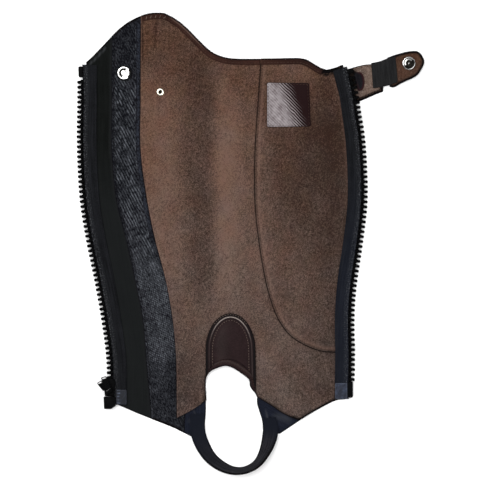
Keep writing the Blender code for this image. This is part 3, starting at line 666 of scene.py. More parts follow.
class Look:
    """A material being made, with short ways to add the nodes that the materials share."""

    def __init__(self, name, roughness, gloss=0.5, **sockets):
        material = bpy.data.materials.new(name)
        material.use_nodes = True
        LOOKS[name] = material
        self.tree = material.node_tree
        self.shader = self.tree.nodes["Principled BSDF"]
        self.set(self.shader, {"Roughness": roughness, "Specular IOR Level": gloss, **sockets})

    def set(self, node, inputs):
        for key, value in inputs.items():
            if isinstance(value, bpy.types.NodeSocket):
                self.tree.links.new(value, node.inputs[key])
            else:
                node.inputs[key].default_value = value

    def add(self, kind, inputs, **settings):
        node = self.tree.nodes.new(f"ShaderNode{kind}")
        for key, value in settings.items():
            setattr(node, key, value)
        self.set(node, inputs)
        return node

    def place(self, stretch=(1.0, 1.0, 1.0), turn=0.0):
        """Places on the piece in millimetres, turned in plan and divided by stretch."""
        spot = self.add("TexCoord", {}).outputs["Object"]
        scale = [1 / MM / s for s in stretch]
        turned = self.add("Mapping", {"Vector": spot, "Rotation": (0, 0, turn)})
        return self.add("Mapping", {"Vector": turned.outputs["Vector"], "Scale": scale}).outputs["Vector"]

    def strip(self, stretch=(1.0, 1.0, 1.0)):
        """Places across and along a strip in millimetres, divided by stretch."""
        spot = self.add("Attribute", {}, attribute_name="strip").outputs["Vector"]
        scale = [1 / s for s in stretch]
        return self.add("Mapping", {"Vector": spot, "Scale": scale}).outputs["Vector"]

    def split(self, place):
        return self.add("SeparateXYZ", {"Vector": place}).outputs

    def noise(self, size, place, detail=2.0, rough=0.5, distort=0.0):
        """Noise from 0 to 1 in lumps about size millimetres across."""
        return self.add("TexNoise", {
            "Vector": place, "Scale": 1 / size, "Detail": detail, "Roughness": rough, "Distortion": distort,
        }).outputs["Fac"]

    def waves(self, pitch, place, direction="X", distort=0.0):
        """Even ridges, from 0 to 1, pitch millimetres apart."""
        return self.add("TexWave", {
            "Vector": place, "Scale": 2 * pi / 20 / pitch, "Distortion": distort, "Detail Scale": 0.5,
        }, bands_direction=direction).outputs["Fac"]

    def cells(self, size, place):
        return self.add("TexVoronoi", {"Vector": place, "Scale": 1 / size}).outputs["Distance"]

    def mark(self, name):
        """A number that the piece keeps for each point."""
        return self.add("Attribute", {}, attribute_name=name).outputs["Fac"]

    def math(self, operation, *values):
        return self.add("Math", dict(enumerate(values)), operation=operation).outputs["Value"]

    def product(self, first, *others):
        for other in others:
            first = self.math("MULTIPLY", first, other)
        return first

    def blend(self, *parts):
        """0.5 with each (socket, weight) added, a socket of 0.5 adding nothing."""
        total = 0.5 - sum(weight for _, weight in parts) / 2
        for socket, weight in parts:
            total = self.math("MULTIPLY_ADD", socket, weight, total)
        return total

    def span(self, value, start, stop, low=0.0, high=1.0):
        """value from start to stop brought smoothly to low to high."""
        return self.add("MapRange", {
            "Value": value, "From Min": start, "From Max": stop, "To Min": low, "To Max": high,
        }, interpolation_type="SMOOTHSTEP").outputs["Result"]

    def ramp(self, value, *stops):
        """The colours of (place, colour) stops at value."""
        node = self.add("ValToRGB", {"Fac": value})
        points = node.color_ramp.elements
        while len(points) < len(stops):
            points.new(0.5)
        for point, (place, colour) in zip(points, stops):
            point.position = place
            point.color = colour
        return node.outputs["Color"]

    def mix(self, amount, first, second):
        inputs = {MIX_AMOUNT: amount, MIX_FIRST: first, MIX_SECOND: second}
        return self.add("Mix", inputs, data_type="RGBA").outputs[MIX_RESULT]

    def finish(self, colour, height, depth, roughness=None):
        """Sets the colour, and relief of depth millimetres from a height between 0 and 1."""
        bump = self.add("Bump", {"Height": height, "Distance": depth * MM, "Strength": 1.0})
        self.set(self.shader, {"Base Color": colour, "Normal": bump.outputs["Normal"]})
        if roughness:
            self.set(self.shader, {"Roughness": roughness})


# Near black, for painted black edges and for painted shade beside seams and raised parts.
NEAR_BLACK = paint(13, 11, 12)
# Pale tan, for the suede's cut edge and for painted highlights where its raised edges catch the light.
CUT_EDGE_AND_HIGHLIGHT = paint(138, 108, 96)
# A pale line painted as the highlight on a ridge.
RIDGE_HIGHLIGHT = paint(150, 138, 132)
PALE_THREAD = paint(96, 98, 102)
CLOTH_GLOSS = 0.03


def look_between(first, second, share):
    """The colour this share of the way from first to second."""
    return tuple(a + (b - a) * share for a, b in zip(first, second))


def suede(name, dark, middle, light):
    """Brushed flesh side: a mottled nap with short fibres, its tone set by the piece's marks."""
    look = Look(name, 0.96, CLOTH_GLOSS, **{
        "Sheen Weight": 0.06, "Sheen Roughness": 0.45, "Sheen Tint": paint(196, 168, 152),
    })
    flat = look.place()
    brushed = look.place(stretch=(1.0, 1.7, 1.0), turn=0.12)
    cloud = look.noise(34.0, flat, detail=3.0, rough=0.55)
    patches = look.noise(11.0, brushed, detail=3.0, rough=0.55, distort=0.3)
    streaks = look.noise(2.1, brushed, rough=0.6)
    fibres = look.noise(1.0, flat, detail=1.0, rough=0.8)
    tone = look.blend(
        (look.mark("tone"), 1.0), (cloud, 0.28), (patches, 0.3), (streaks, 0.85), (fibres, 1.5),
    )
    colour = look.ramp(tone, (0.12, paint(*dark)), (0.5, paint(*middle)), (0.9, paint(*light)))
    depth = look.math("MULTIPLY_ADD", look.noise(26.0, flat), 0.5, -0.25)
    hue = look.math("MULTIPLY_ADD", look.noise(13.0, brushed), -0.03, 0.515)
    colour = look.add("HueSaturation", {
        "Hue": hue, "Saturation": look.math("ADD", look.mark("warmth"), depth), "Color": colour,
    }).outputs["Color"]
    # The cut mark lightens the suede: its cut edge, partly a painted highlight, and painted highlights along
    # the calf's raised edges.
    colour = look.mix(look.product(look.mark("cut"), 0.6), colour, CUT_EDGE_AND_HIGHLIGHT)
    # Near black where the edge is painted, and painted shade along the calf's seam, beside the strap's patch
    # and along some lower edges.
    colour = look.mix(look.mark("edge_paint_and_shade"), colour, NEAR_BLACK)
    look.finish(colour, look.blend((streaks, 0.9), (fibres, 0.9), (patches, 0.4)), 0.5)


def grain_leather(name, dark, light, roughness, pore=1.1, crest_line=RIDGE_HIGHLIGHT):
    """Smooth side of the leather: fine pores and creases in a slightly glossy coat."""
    look = Look(name, roughness, CLOTH_GLOSS)
    flat = look.place()
    cells = look.cells(pore, flat)
    creases = look.noise(2.4, flat, detail=4.0, rough=0.65, distort=0.8)
    cloud = look.noise(26.0, flat, detail=3.0)
    grain = look.blend((cells, 0.35), (cloud, 0.9), (creases, 0.3))
    colour = look.ramp(grain, (0.2, paint(*dark)), (0.8, paint(*light)))
    # A lighter line where the piece marks a crest: a painted highlight on the hems and on the arch patch and
    # its rim, and a reddish edge on the strap's patch.
    colour = look.mix(look.mark("crest"), colour, crest_line)
    # Near black where the edge is painted, and a painted shade line inside the arch patch's raised line.
    colour = look.mix(look.mark("edge_paint_and_shade"), colour, NEAR_BLACK)
    worn = look.span(cloud, 0.3, 0.7, roughness - 0.06, roughness + 0.08)
    look.finish(colour, look.blend((cells, 1.0), (creases, 0.6)), 0.12, worn)


def cut_edge(name, colour, speck):
    """The cut side of a leather panel, fibrous and dull."""
    look = Look(name, 0.9)
    fuzz = look.noise(0.6, look.place(), detail=3.0, rough=0.7)
    look.finish(look.ramp(fuzz, (0.3, paint(*speck)), (0.7, paint(*colour))), fuzz, 0.25)


def woven(name, dark, light, pitch, depth, rim=None, flecks=0.0, joined=None):
    """Plain woven cloth or webbing: threads across and along the strip that the piece marks. rim
    is how wide its black edge is, flecks how strongly its threads are rubbed near its start, and
    joined its colour where it runs into another cloth."""
    look = Look(name, 0.85, CLOTH_GLOSS)
    lie = look.strip()
    warp = look.waves(pitch[0], lie, "X", distort=0.3)
    weft = look.waves(pitch[1], lie, "Y", distort=0.3)
    threads = look.product(warp, weft)
    cloud = look.noise(14.0, lie, detail=3.0)
    lines = look.noise(1.5, look.strip(stretch=(1.0, 30.0, 1.0)))
    speckle = look.noise(1.2, lie, detail=1.0)
    tone = look.blend((threads, 0.4), (cloud, 0.5), (lines, 1.0), (speckle, 0.7))
    colour = look.ramp(tone, (0.1, paint(*dark)), (0.9, paint(*light)))
    if rim:
        colour = look.mix(look.span(look.mark("edge"), rim, 0.5 * rim), colour, NEAR_BLACK)
    colour = look.mix(look.mark("pale"), colour, PALE_THREAD)
    if joined:
        colour = look.mix(look.mark("joined"), colour, paint(*joined))
    if flecks:
        near = look.span(look.split(lie)["X"], 8.0, 2.5, 0.0, flecks)
        rubbed = look.product(look.span(look.noise(1.3, lie, detail=1.0), 0.5, 0.72), near)
        colour = look.mix(rubbed, colour, PALE_THREAD)
    look.finish(colour, look.blend((threads, 1.0), (lines, 0.6), (speckle, 0.4)), depth)


def ribbed_elastic(name, trough, crest, selvedge):
    """Puckered elastic, lighter on the crests of its ribs and near black in its troughs, partly its pale
    threads and partly painted light and shade, with flat bands along its edges.
    """
    look = Look(name, 0.85, CLOTH_GLOSS)
    trough, crest = paint(*trough), paint(*crest)
    flat = look.place()
    knit = look.cells(0.9, look.place(stretch=(1.0, 1.6, 1.0), turn=RIB_TURN))
    flecks = look.noise(1.25, look.place(stretch=(1.0, 2.4, 1.0), turn=-RIB_TURN), detail=1.0)
    cloud = look.noise(9.0, flat, detail=3.0, rough=0.6)
    height = look.blend((look.mark("crest"), 1.0), (knit, 0.35), (cloud, 0.5), (flecks, 1.0))
    colour = look.ramp(height, (0.1, trough), (0.5, look_between(trough, crest, 0.3)), (0.9, crest))
    weave = look.blend((flecks, 1.2), (knit, 0.5), (cloud, 0.7))
    navy = look.ramp(weave, (0.2, NEAR_BLACK), (0.8, paint(*selvedge)))
    colour = look.mix(look.mark("band"), colour, navy)
    # Near black at the cut ends, and painted shade round the press stud and beside the suede.
    colour = look.mix(look.mark("edge_paint_and_shade"), colour, NEAR_BLACK)
    look.finish(colour, look.blend((knit, 1.0), (flecks, 1.0)), 0.2)


def moulded(name, colour, sheen, roughness):
    """Moulded plastic or waxed thread: faintly mottled, smoother where it is rubbed."""
    look = Look(name, roughness, 0.02)
    flat = look.place()
    mottle = look.noise(3.0, flat, detail=3.0)
    shade = look.ramp(mottle, (0.3, paint(*colour)), (0.75, paint(*sheen)))
    fine = look.noise(0.5, flat)
    look.finish(shade, fine, 0.02, look.span(mottle, 0.3, 0.7, roughness - 0.08, roughness + 0.1))


def plated(name, colour, dull, roughness):
    """Plated metal with faint turning marks and dulled patches."""
    look = Look(name, roughness, Metallic=1.0)
    tarnish = look.noise(2.5, look.place(), detail=4.0, rough=0.6)
    scratches = look.noise(0.25, look.place(stretch=(1.0, 9.0, 1.0), turn=0.7))
    shade = look.ramp(tarnish, (0.35, (*dull, 1)), (0.6, (*colour, 1)))
    look.finish(shade, scratches, 0.006, look.span(tarnish, 0.3, 0.7, roughness + 0.1, roughness))


def printed_label(name):
    """A coated dark label with a painted grey reflection over its lower left, broken into fine lines."""
    look = Look(name, 0.4, CLOTH_GLOSS)
    lie = look.strip()
    sheen_blotches = look.noise(6.0, lie, detail=3.0)
    lines = look.waves(1.7, lie, "DIAGONAL", distort=3.0)
    across = look.split(lie)
    reflection_reach = look.math("MULTIPLY_ADD", across["Y"], 0.35, across["X"])
    reflection_reach = look.math("MULTIPLY_ADD", sheen_blotches, 12.0, reflection_reach)
    reflection_reach = look.math("MULTIPLY_ADD", lines, 15.0, reflection_reach)
    gloss = look.blend((sheen_blotches, 1.1), (lines, 0.22))
    # The grey is a painted reflection of the light, reaching from the lower left.
    grey = look.ramp(gloss, (0.2, paint(112, 101, 103)), (0.8, paint(184, 176, 178)))
    colour = look.mix(look.span(reflection_reach, 53.0, 42.0), paint(31, 11, 12), grey)
    colour = look.mix(look.span(look.mark("edge"), 0.8, 0.2, 0.0, 0.7), colour, paint(30, 20, 20))
    look.finish(colour, look.blend((look.waves(0.5, lie, "X"), 0.5), (sheen_blotches, 0.4)), 0.05)


def bonded_film(name):
    """Blue grey film melted onto the tape, with the weave showing through at its toothed edge."""
    look = Look(name, 0.35, 0.12)
    flat = look.place()
    lie = look.strip()
    weave = look.cells(0.9, flat)
    cloud = look.noise(5.0, flat)
    folds = look.noise(2.0, look.place(stretch=(1.0, 6.0, 1.0), turn=0.5))
    paleness = look.mark("tone")
    tone = look.blend((paleness, 1.0), (weave, 0.3), (cloud, 0.6), (folds, 0.7))
    colour = look.ramp(tone, (0.1, paint(20, 23, 32)), (0.5, paint(40, 45, 60)), (0.9, paint(66, 77, 101)))
    away = look.split(lie)["X"]
    rungs = look.product(
        look.span(look.waves(3.6, lie, "Y", distort=1.5), 0.5, 0.8), look.span(away, 9.0, 7.5),
        look.span(away, 4.5, 6.0), look.span(paleness, 0.6, 0.3), look.span(folds, 0.35, 0.65),
    )
    colour = look.mix(rungs, colour, paint(86, 94, 112))
    outline = look.product(look.span(look.mark("edge"), 0.9, 0.3), paleness)
    colour = look.mix(outline, colour, paint(92, 98, 112))
    look.finish(colour, look.blend((weave, 0.6), (folds, 1.0)), 0.15)


suede("suede", (54, 40, 34), (92, 72, 63), (126, 100, 88))
suede("strap_suede", (78, 58, 48), (118, 96, 83), (150, 127, 113))
suede("tip_suede", (48, 33, 27), (78, 58, 49), (104, 82, 70))
grain_leather("outer_leather", (40, 26, 22), (66, 44, 36), 0.48)
grain_leather("hem_leather", (38, 20, 16), (72, 46, 39), 0.7, pore=0.8, crest_line=paint(132, 108, 96))
grain_leather("dark_leather", (26, 15, 16), (52, 37, 38), 0.42, crest_line=paint(205, 190, 182))
grain_leather("black_leather", (9, 9, 13), (30, 27, 34), 0.5, crest_line=paint(66, 28, 30))
cut_edge("cut_suede", (140, 108, 94), (84, 62, 54))
cut_edge("painted_edge", (24, 19, 18), (12, 10, 10))
woven("facing", (13, 15, 14), (26, 28, 27), (0.5, 0.5), 0.05, rim=2.0, joined=(38, 40, 42))
woven("zip_tape", (14, 15, 17), (40, 41, 45), (1.0, 0.6), 0.12, flecks=0.8, joined=(36, 42, 58))
woven("anchor_webbing", (14, 17, 27), (44, 48, 62), (0.9, 0.55), 0.1, rim=1.3)
woven("stirrup_elastic", (17, 17, 21), (66, 65, 71), (1.1, 0.7), 0.15, rim=2.9, joined=(26, 29, 38))
woven("strap_elastic", (26, 26, 27), (52, 52, 53), (1.1, 0.6), 0.12)
ribbed_elastic("elastic", (13, 14, 19), (101, 104, 111), (54, 58, 68))
moulded("zip_plastic", (2, 2, 3), (11, 11, 12), 0.42)
plated("nickel", (0.86, 0.86, 0.85), (0.74, 0.73, 0.72), 0.14)
# Grey metal for the tab's exposed plates, and for the studs that stand in for glints.
plated("worn_metal_and_glint", (0.42, 0.42, 0.42), (0.25, 0.25, 0.25), 0.35)
# Near-black metal: oxide in the fasteners' hollows, and painted shade on them.
plated("dark_metal", (0.016, 0.015, 0.013), (0.008, 0.007, 0.006), 0.5)
plated("brass", (0.92, 0.88, 0.76), (0.84, 0.78, 0.62), 0.22)
printed_label("label")
bonded_film("film")
moulded("brown_thread", (58, 42, 36), (92, 72, 60), 0.7)
moulded("tan_thread", (104, 90, 81), (136, 119, 107), 0.7)
moulded("black_thread", (24, 24, 26), (44, 44, 48), 0.7)


# The edges that seams, hems and welts follow

PANEL_STEP = CUTS["front_panel"].spacing
FRONT = smooth(FORMS["front_panel"].outline, PANEL_STEP)
SUEDE_SIDE = part_of(FRONT, (FRONT[:, 0] < -78) & (abs(FRONT[:, 1] - 25) < 213))
ARCH_SIDE = part_of(FRONT, (abs(FRONT[:, 0] + 20) < 29) & (FRONT[:, 1] < -128))
CALF = smooth(FORMS["calf_panel"].outline, PANEL_STEP)
SEAM_SIDE = part_of(CALF, (CALF[:, 0] < 100) & (CALF[:, 1] < 196))
FRONT_TOP = part_of(FRONT, (FRONT[:, 1] > 193) & (FRONT[:, 0] > -117.5))
CALF_TOP = part_of(CALF, (CALF[:, 1] > 185) & (CALF[:, 0] > 12))
PATCH_OUTLINE = smooth(FORMS["arch_patch"].outline, 1.2)
PATCH_TOP = part_of(PATCH_OUTLINE, distance_to(PATCH_OUTLINE, ARCH_SIDE) > 2.0)
LEFT_TAPE = long_sides(FORMS["zip_tape_left"].outline)
RIGHT_TAPE = long_sides(FORMS["zip_tape_right"].outline)
FACING_SIDES = long_sides(FORMS["zip_facing"].outline)
ELASTIC_SIDES = long_sides(FORMS["elastic_panel"].outline)
EYELET = np.array((-97.3, 163.6))
PRESS_STUD = np.array((-135.7, 183.5))
SOCKET = np.array((170.7, 194.3))


# Leather panels

# Lighter and darker blotches of the suede, each fading over its reach.
PATCHES = table(
    "x y reach tone",
    (-85, 225, 45, -0.10), (-52, 200, 30, -0.10), (-25, 15, 45, 0.04), (55, 185, 30, 0.10),
    (66, 122, 48, -0.22), (56, 68, 48, -0.18), (62, 12, 40, -0.08), (22, -130, 45, 0.08),
    (60, -150, 40, -0.06), (-80, -120, 40, -0.10), (-72, -160, 30, -0.20), (-62, -78, 30, 0.11),
    (-25, 80, 34, 0.09), (-15, 165, 26, -0.11), (80, 173, 20, -0.19),
)
# Painted light and shade of folds in the suede, with a change of warmth along them: from a place up to
# another, each fading over its own reach to either side.
FOLD_LIGHT_AND_SHADE = table(
    "x y to_x to_y left right tone warmth",
    (-86, -60, -104, 182, 34, 24, 0.24, 0.04), (-50, -60, -50, 205, 27, 11, -0.18, -0.08),
    (-29, -85, -29, 196, 9, 24, 0.28, 0.0), (12, -70, 9, 150, 8, 12, 0.10, -0.03),
    (98, -170, 100, 185, 28, 30, -0.24, -0.06), (-103, 212, -101, 246, 1.3, 1.3, -0.30, 0.0),
)
WARMTH_RISE = 0.0010  # how much more strongly coloured the suede is for each millimetre up
# Soft troughs of a sheet: from one place to another, how wide and how deep.
CREASE = "x y to_x to_y width depth"
CREASES = {
    "front_panel": table(
        CREASE, (-101, 244, -103, 212, 1.6, 0.35), (-86, 238, -90, 196, 2.6, 0.25),
        (-52, 214, -78, 176, 5.0, 0.30), (-92, 150, -70, 96, 6.0, 0.22),
        (-8, 196, -14, 140, 4.0, 0.25), (-20, 84, -62, 52, 7.0, 0.25),
        (-80, 10, -58, -44, 5.5, 0.22), (-30, -18, -6, -66, 6.5, 0.26),
        (-70, -96, -62, -150, 4.5, 0.30), (14, -112, 30, -150, 4.0, 0.28),
        (56, -132, 84, -152, 5.0, 0.24), (20, -170, 46, -184, 3.0, 0.20),
    ),
    "calf_panel": table(
        CREASE, (22, 116, 30, 70, 4.5, 0.22), (88, 184, 96, 150, 3.5, 0.28),
        (44, 60, 84, 38, 6.5, 0.25), (104, 40, 92, -6, 5.0, 0.22),
        (34, -20, 58, -62, 5.5, 0.25), (80, -60, 100, -92, 4.5, 0.20),
    ),
    "zip_facing": table(
        CREASE, (-122, -160, -112, -186, 2.2, 0.45), (-136, -154, -126, -180, 2.6, 0.35),
        (-118, -120, -128, -158, 3.5, 0.30), (-160, 150, -158, 90, 3.0, 0.20),
        (-154, 40, -150, -20, 3.2, 0.20),
    ),
    "anchor_left": table(
        CREASE, (-66, -176, -60, -204, 0.8, 0.35), (-54, -166, -56, -206, 0.9, 0.35),
        (-62, -184, -70, -200, 1.4, 0.25),
    ),
    "anchor_right": table(
        CREASE, (14, -172, 20, -200, 0.9, 0.30), (30, -182, 26, -202, 1.3, 0.28),
        (38, -192, 50, -190, 1.2, 0.25),
    ),
    "strap_base": table(
        CREASE, (126.5, 192, 131.5, 168, 0.9, 0.35), (122, 190, 126, 168, 1.3, 0.2),
        (104, 180, 108, 154, 2.0, 0.2),
    ),
}
ANCHOR_STREAKS = table(
    CREASE, (-62, -178, -57, -206, 0.9, 0.30), (-68, -190, -60, -196, 2.5, 0.12),
    (16, -178, 18, -204, 1.0, 0.34), (22, -186, 46, -192, 4.0, 0.20),
)


def folded(spots, fold):
    """How strongly a fold shows at each point, from 0 to 1."""
    start, run = np.array((fold.x, fold.y)), np.array((fold.to_x - fold.x, fold.to_y - fold.y))
    t = (spots - start) @ run / (run @ run)
    side = (spots - start) @ np.array((run[1], -run[0])) / np.linalg.norm(run)
    fade = eased_in(t, -0.12, 0.2) * eased_in(-t, -1.08, -0.82)
    return fade * np.exp(-(side / np.where(side < 0, fold.left, fold.right)) ** 2)


def mark_suede(made, painted, cut, colour=0.98):
    """Keeps the suede's tone and warmth at each point, with the painted light and shade of its folds; where
    its edge is painted black, with painted shade beside seams and raised parts; and where its cut edge and
    painted highlights lighten it.
    """
    tone = np.full(len(made.spots), 0.5)
    for patch in PATCHES:
        away = np.hypot(made.spots[:, 0] - patch.x, made.spots[:, 1] - patch.y)
        tone += patch.tone * np.exp(-(away / patch.reach) ** 2 * 1.5)
    warmth = colour + WARMTH_RISE * (made.spots[:, 1] - 20)
    # Each fold adds its painted light and shade to the tone, and its warmth.
    for fold in FOLD_LIGHT_AND_SHADE:
        strength = folded(made.spots, fold)
        tone += fold.tone * strength
        warmth += fold.warmth * strength
    made.mark(tone=tone, warmth=warmth, edge_paint_and_shade=painted, cut=cut)


def creased(spots, creases):
    """Depth of the troughs at each point, fading towards each one's ends."""
    height = np.zeros(len(spots))
    for crease in creases:
        start, stop = np.array((crease.x, crease.y)), np.array((crease.to_x, crease.to_y))
        run = stop - start
        t = (spots - start) @ run / (run @ run)
        bow = 0.06 * np.sin(pi * np.clip(t, 0, 1)) * np.linalg.norm(run)
        side = (spots - start) @ np.array((-run[1], run[0])) / np.linalg.norm(run) - bow
        fade = np.clip(1 - np.abs(2 * t - 1) ** 3, 0, 1)
        height -= crease.depth * fade * np.exp(-(side / crease.width) ** 2)
    return height


def leather_panels():
    def front_relief(spots, edge):
        eyelet = bump_at(from_point(spots, EYELET), 0.0, 5.0, -0.35)
        return creased(spots, CREASES["front_panel"]) + bump_at(edge, 0.0, 3.0, 0.25) + eyelet

    def calf_relief(spots, edge):
        sewn = bump_at(distance_to(spots, SEAM_SIDE), 2.6, 0.9, -0.22)
        return creased(spots, CREASES["calf_panel"]) + bump_at(edge, 0.0, 2.2, 0.25) + sewn

    front = sheet("front_panel", front_relief)
    x, y = front.spots.T
    painted = within(front.edge, 1.9) * ((y < -125) & (x > -52) & (x < 90) | (y > 197) & (x > -117))
    # Wider along the lower right, where the black is partly edge paint and partly painted shade.
    painted = np.maximum(painted, within(front.edge, 3.0) * (x > 45) * (y < -145))
    # A lighter line down the left edge, partly the cut's own colour and partly a painted highlight.
    mark_suede(front, painted, within(front.edge, 1.2) * (x < -78) * 0.3)

    calf = sheet("calf_panel", calf_relief)
    x, y = calf.spots.T
    below_top, seam = calf.away(CALF_TOP), calf.away(SEAM_SIDE)
    turned_in = eased_in(x, 70, 77) * within(below_top, 7.0)
    # The last term is painted shade: a dark line along the seam where the calf's edge laps the front.
    painted = np.maximum.reduce([within(below_top, 1.6), turned_in, 0.95 * within(seam, 1.7)])
    # Painted highlights: a line where the calf's edge bulges beside the tape, and a lighter strip where it
    # rises beside the seam.
    tape_side_highlight = bump_at(calf.away(RIGHT_TAPE[0]), 0.8, 0.8, 0.45) * eased_in(y, 20, 90) * (y < 178)
    mark_suede(calf, painted, np.maximum(0.5 * bump_at(seam, 4.2, 1.9), tape_side_highlight))

    for node, top in (("top_hem_front", FRONT_TOP), ("top_hem_calf", CALF_TOP)):
        def rolled(spots, edge, top=top):
            away = distance_to(spots, top)
            return bump_at(away, 1.6, 1.6, 0.35) + bump_at(away, 4.6, 0.8, -0.2)

        hem = sheet(node, rolled)
        away, x = hem.away(top), hem.spots[:, 0]
        # A painted highlight line along the hem's roll, across the middle of the top.
        lit = eased_in(x, -90, -80) * eased_in(-x, 45, 62)
        darker = np.maximum(0.45 * eased_in(x, 44, 60), eased_in(x, 72, 80))
        dark_top = np.maximum(np.clip(2.1 - away, 0, 0.95), darker)
        hem.mark(crest=0.55 * bump_at(away, 2.4, 0.6) * lit, edge_paint_and_shade=dark_top)


# Elastic, facing and tapes

RIB_PITCH = 2.8
DOT_PITCH = 2.7
SELVEDGE = 5.4  # how wide the elastic's flat band beside the suede is
FACING_HEM = 4.2  # how far in from the facing's edge its hem is sewn


def speckled(u, v):
    """Even noise from 0 to 1, in lumps one unit across."""
    i, j = np.floor(u).astype(int), np.floor(v).astype(int)
    s, t = eased_in(u - i, 0, 1), eased_in(v - j, 0, 1)
    a, b = SPECKS[i % 128, j % 128], SPECKS[(i + 1) % 128, j % 128]
    c, d = SPECKS[i % 128, (j + 1) % 128], SPECKS[(i + 1) % 128, (j + 1) % 128]
    return (a * (1 - s) + b * s) * (1 - t) + (c * (1 - s) + d * s) * t


def puckers(spots):
    """The height from 0 to 1 of the elastic's puckered ribs, which turn to dots towards the foot."""
    x, y = spots.T
    across = x * cos(RIB_TURN) + y * sin(RIB_TURN) + 1.1 * speckled(x / 8.0 + 7, y / 11.0)
    ahead = y * cos(RIB_TURN) - x * sin(RIB_TURN)
    ribs = 0.5 + 0.5 * np.sin(2 * pi * across / RIB_PITCH)
    broken = eased_in(speckled(across / 2.9, ahead / 3.4), 0.15, 0.8)
    dots = 0.5 + 0.5 * np.sin(2 * pi * across / DOT_PITCH) * np.sin(2 * pi * ahead / DOT_PITCH / 1.3)
    dots = dots**1.6 * (0.3 + 1.0 * speckled(across / 2.2 + 31, ahead / 2.8))
    dotted = eased_in(-y, -10, 60)
    height = (1 - dotted) * ribs * (0.25 + 0.75 * broken) + dotted * dots
    return height * (0.55 + 0.6 * speckled(x / 8.0 + 3, y / 15.0))


def banded(spots):
    """1 on the flat bands along the suede: narrow at the head, gone lower down, wide at the foot."""
    away, y = distance_to(spots, SUEDE_SIDE), spots[:, 1]
    head = (1 - eased_in(away, SELVEDGE - 1.5, SELVEDGE + 2.5)) * eased_in(y, -45, 20)
    return np.maximum(head, 0.8 * (1 - eased_in(away, 8.0, 12.0)) * eased_in(-y, 112, 132))


def pucker_strength(spots):
    """How strongly the elastic is puckered at each point, from 0 to 1."""
    y = spots[:, 1]
    beside_facing = eased_in(distance_to(spots, FACING_SIDES[1]), 1.2, 4.5)
    smoother_head = 1 - 0.8 * eased_in(y, 165, 200)
    low = 1 - 0.75 * eased_in(-y, 118, 158)
    return (1 - banded(spots)) * beside_facing * smoother_head * low


def elastic_panel():
    def relief(spots, edge):
        puckered = pucker_strength(spots) * (puckers(spots) - 0.5)
        sewn = bump_at(distance_to(spots, FACING_SIDES[1]), 2.4, 0.7, -0.3)
        line = bump_at(distance_to(spots, SUEDE_SIDE), SELVEDGE, 0.6, 0.2)
        line *= eased_in(spots[:, 1], -185, -160)
        return puckered + sewn + line + bump_at(from_point(spots, PRESS_STUD), 0.0, 9.0, -0.4)

    made = sheet("elastic_panel", relief)
    x, y = made.spots.T
    beside_suede, beside_facing = made.away(SUEDE_SIDE), made.away(FACING_SIDES[1])
    frayed = eased_in(speckled(x / 2.0, y / 3.5), 0.3, 0.9)
    line = bump_at(beside_suede, SELVEDGE + 0.4, 0.5, 0.5) * frayed * eased_in(y, -40, 10)
    paler = 0.11 * eased_in(-y, -40, 30) * eased_in(y, -145, -110) + 0.08 * eased_in(-y, 120, 150)
    lit = bump_at(beside_facing, 1.3, 0.6, 0.35) * frayed * eased_in(-y, 10, 60)
    ribs = 0.8 * pucker_strength(made.spots) * puckers(made.spots)
    ends = made.edge < np.min([made.away(side) for side in ELASTIC_SIDES], axis=0) - 0.3
    rim = within(made.edge, 2.9) * (abs(y) > 165) * ends
    # Painted shadow in a ring round the press stud.
    stud = bump_at(from_point(made.spots, PRESS_STUD), 7.6, 1.2, 0.9)
    shade = within(beside_suede, 1.6) * (0.75 - 0.4 * eased_in(-y, -20, 40))
    # The crest mark lightens the rib tops, partly pale threads and partly painted light, with a painted
    # highlight beside the facing; the dark mark holds the black ends and painted shade round the press stud
    # and beside the suede.
    made.mark(
        crest=np.clip(0.12 + paler + ribs + line + lit, 0, 1),
        band=(1 - eased_in(beside_suede, 3.0, 5.6)) * (1 - eased_in(-y, -60, 40)),
        edge_paint_and_shade=np.maximum.reduce([rim, stud, shade]),
    )


def zip_facing():
    def relief(spots, edge):
        hem = bump_at(edge, 4.4, 0.8, -0.25) * (spots[:, 1] > 150)
        return creased(spots, CREASES["zip_facing"]) + bump_at(edge, 1.0, 1.2, 0.2) + hem

    made = sheet("zip_facing", relief)
    made.mark_strip(FACING_SIDES[0])
    y, beside_elastic = made.spots[:, 1], made.away(FACING_SIDES[1])
    greyer = np.maximum(0.5 * (1 - eased_in(beside_elastic, 1.5, 3.0)), 0.36 * eased_in(-y, -120, -20))
    hem = bump_at(made.edge, FACING_HEM, 0.8, 0.32) * ((y > 186) * (beside_elastic > 7))
    made.mark(pale=hem, joined=greyer)


TAPE_BEAD = 0.9  # how far in from its edge the tape's cord lies


def zip_tapes():
    tapes = {"zip_tape_left": LEFT_TAPE, "zip_tape_right": RIGHT_TAPE[::-1]}
    for node, (toothed, sewn_side) in tapes.items():
        def relief(spots, edge, toothed=toothed, sewn_side=sewn_side):
            away = distance_to(spots, toothed)
            cord = bump_at(away, TAPE_BEAD, 0.9, 0.45)
            fold = bump_at(away, 6.4, 0.7, -0.22) + bump_at(away, 8.0, 1.0, 0.12)
            return cord + fold + bump_at(distance_to(spots, sewn_side), 2.2, 0.7, -0.2)

        tape = sheet(node, relief)
        x, y = tape.spots.T
        tape.mark_strip(toothed)
        tape.mark(joined=0.3 * eased_in(-y, -120, 60) * (x > 0))


# Zip mouldings

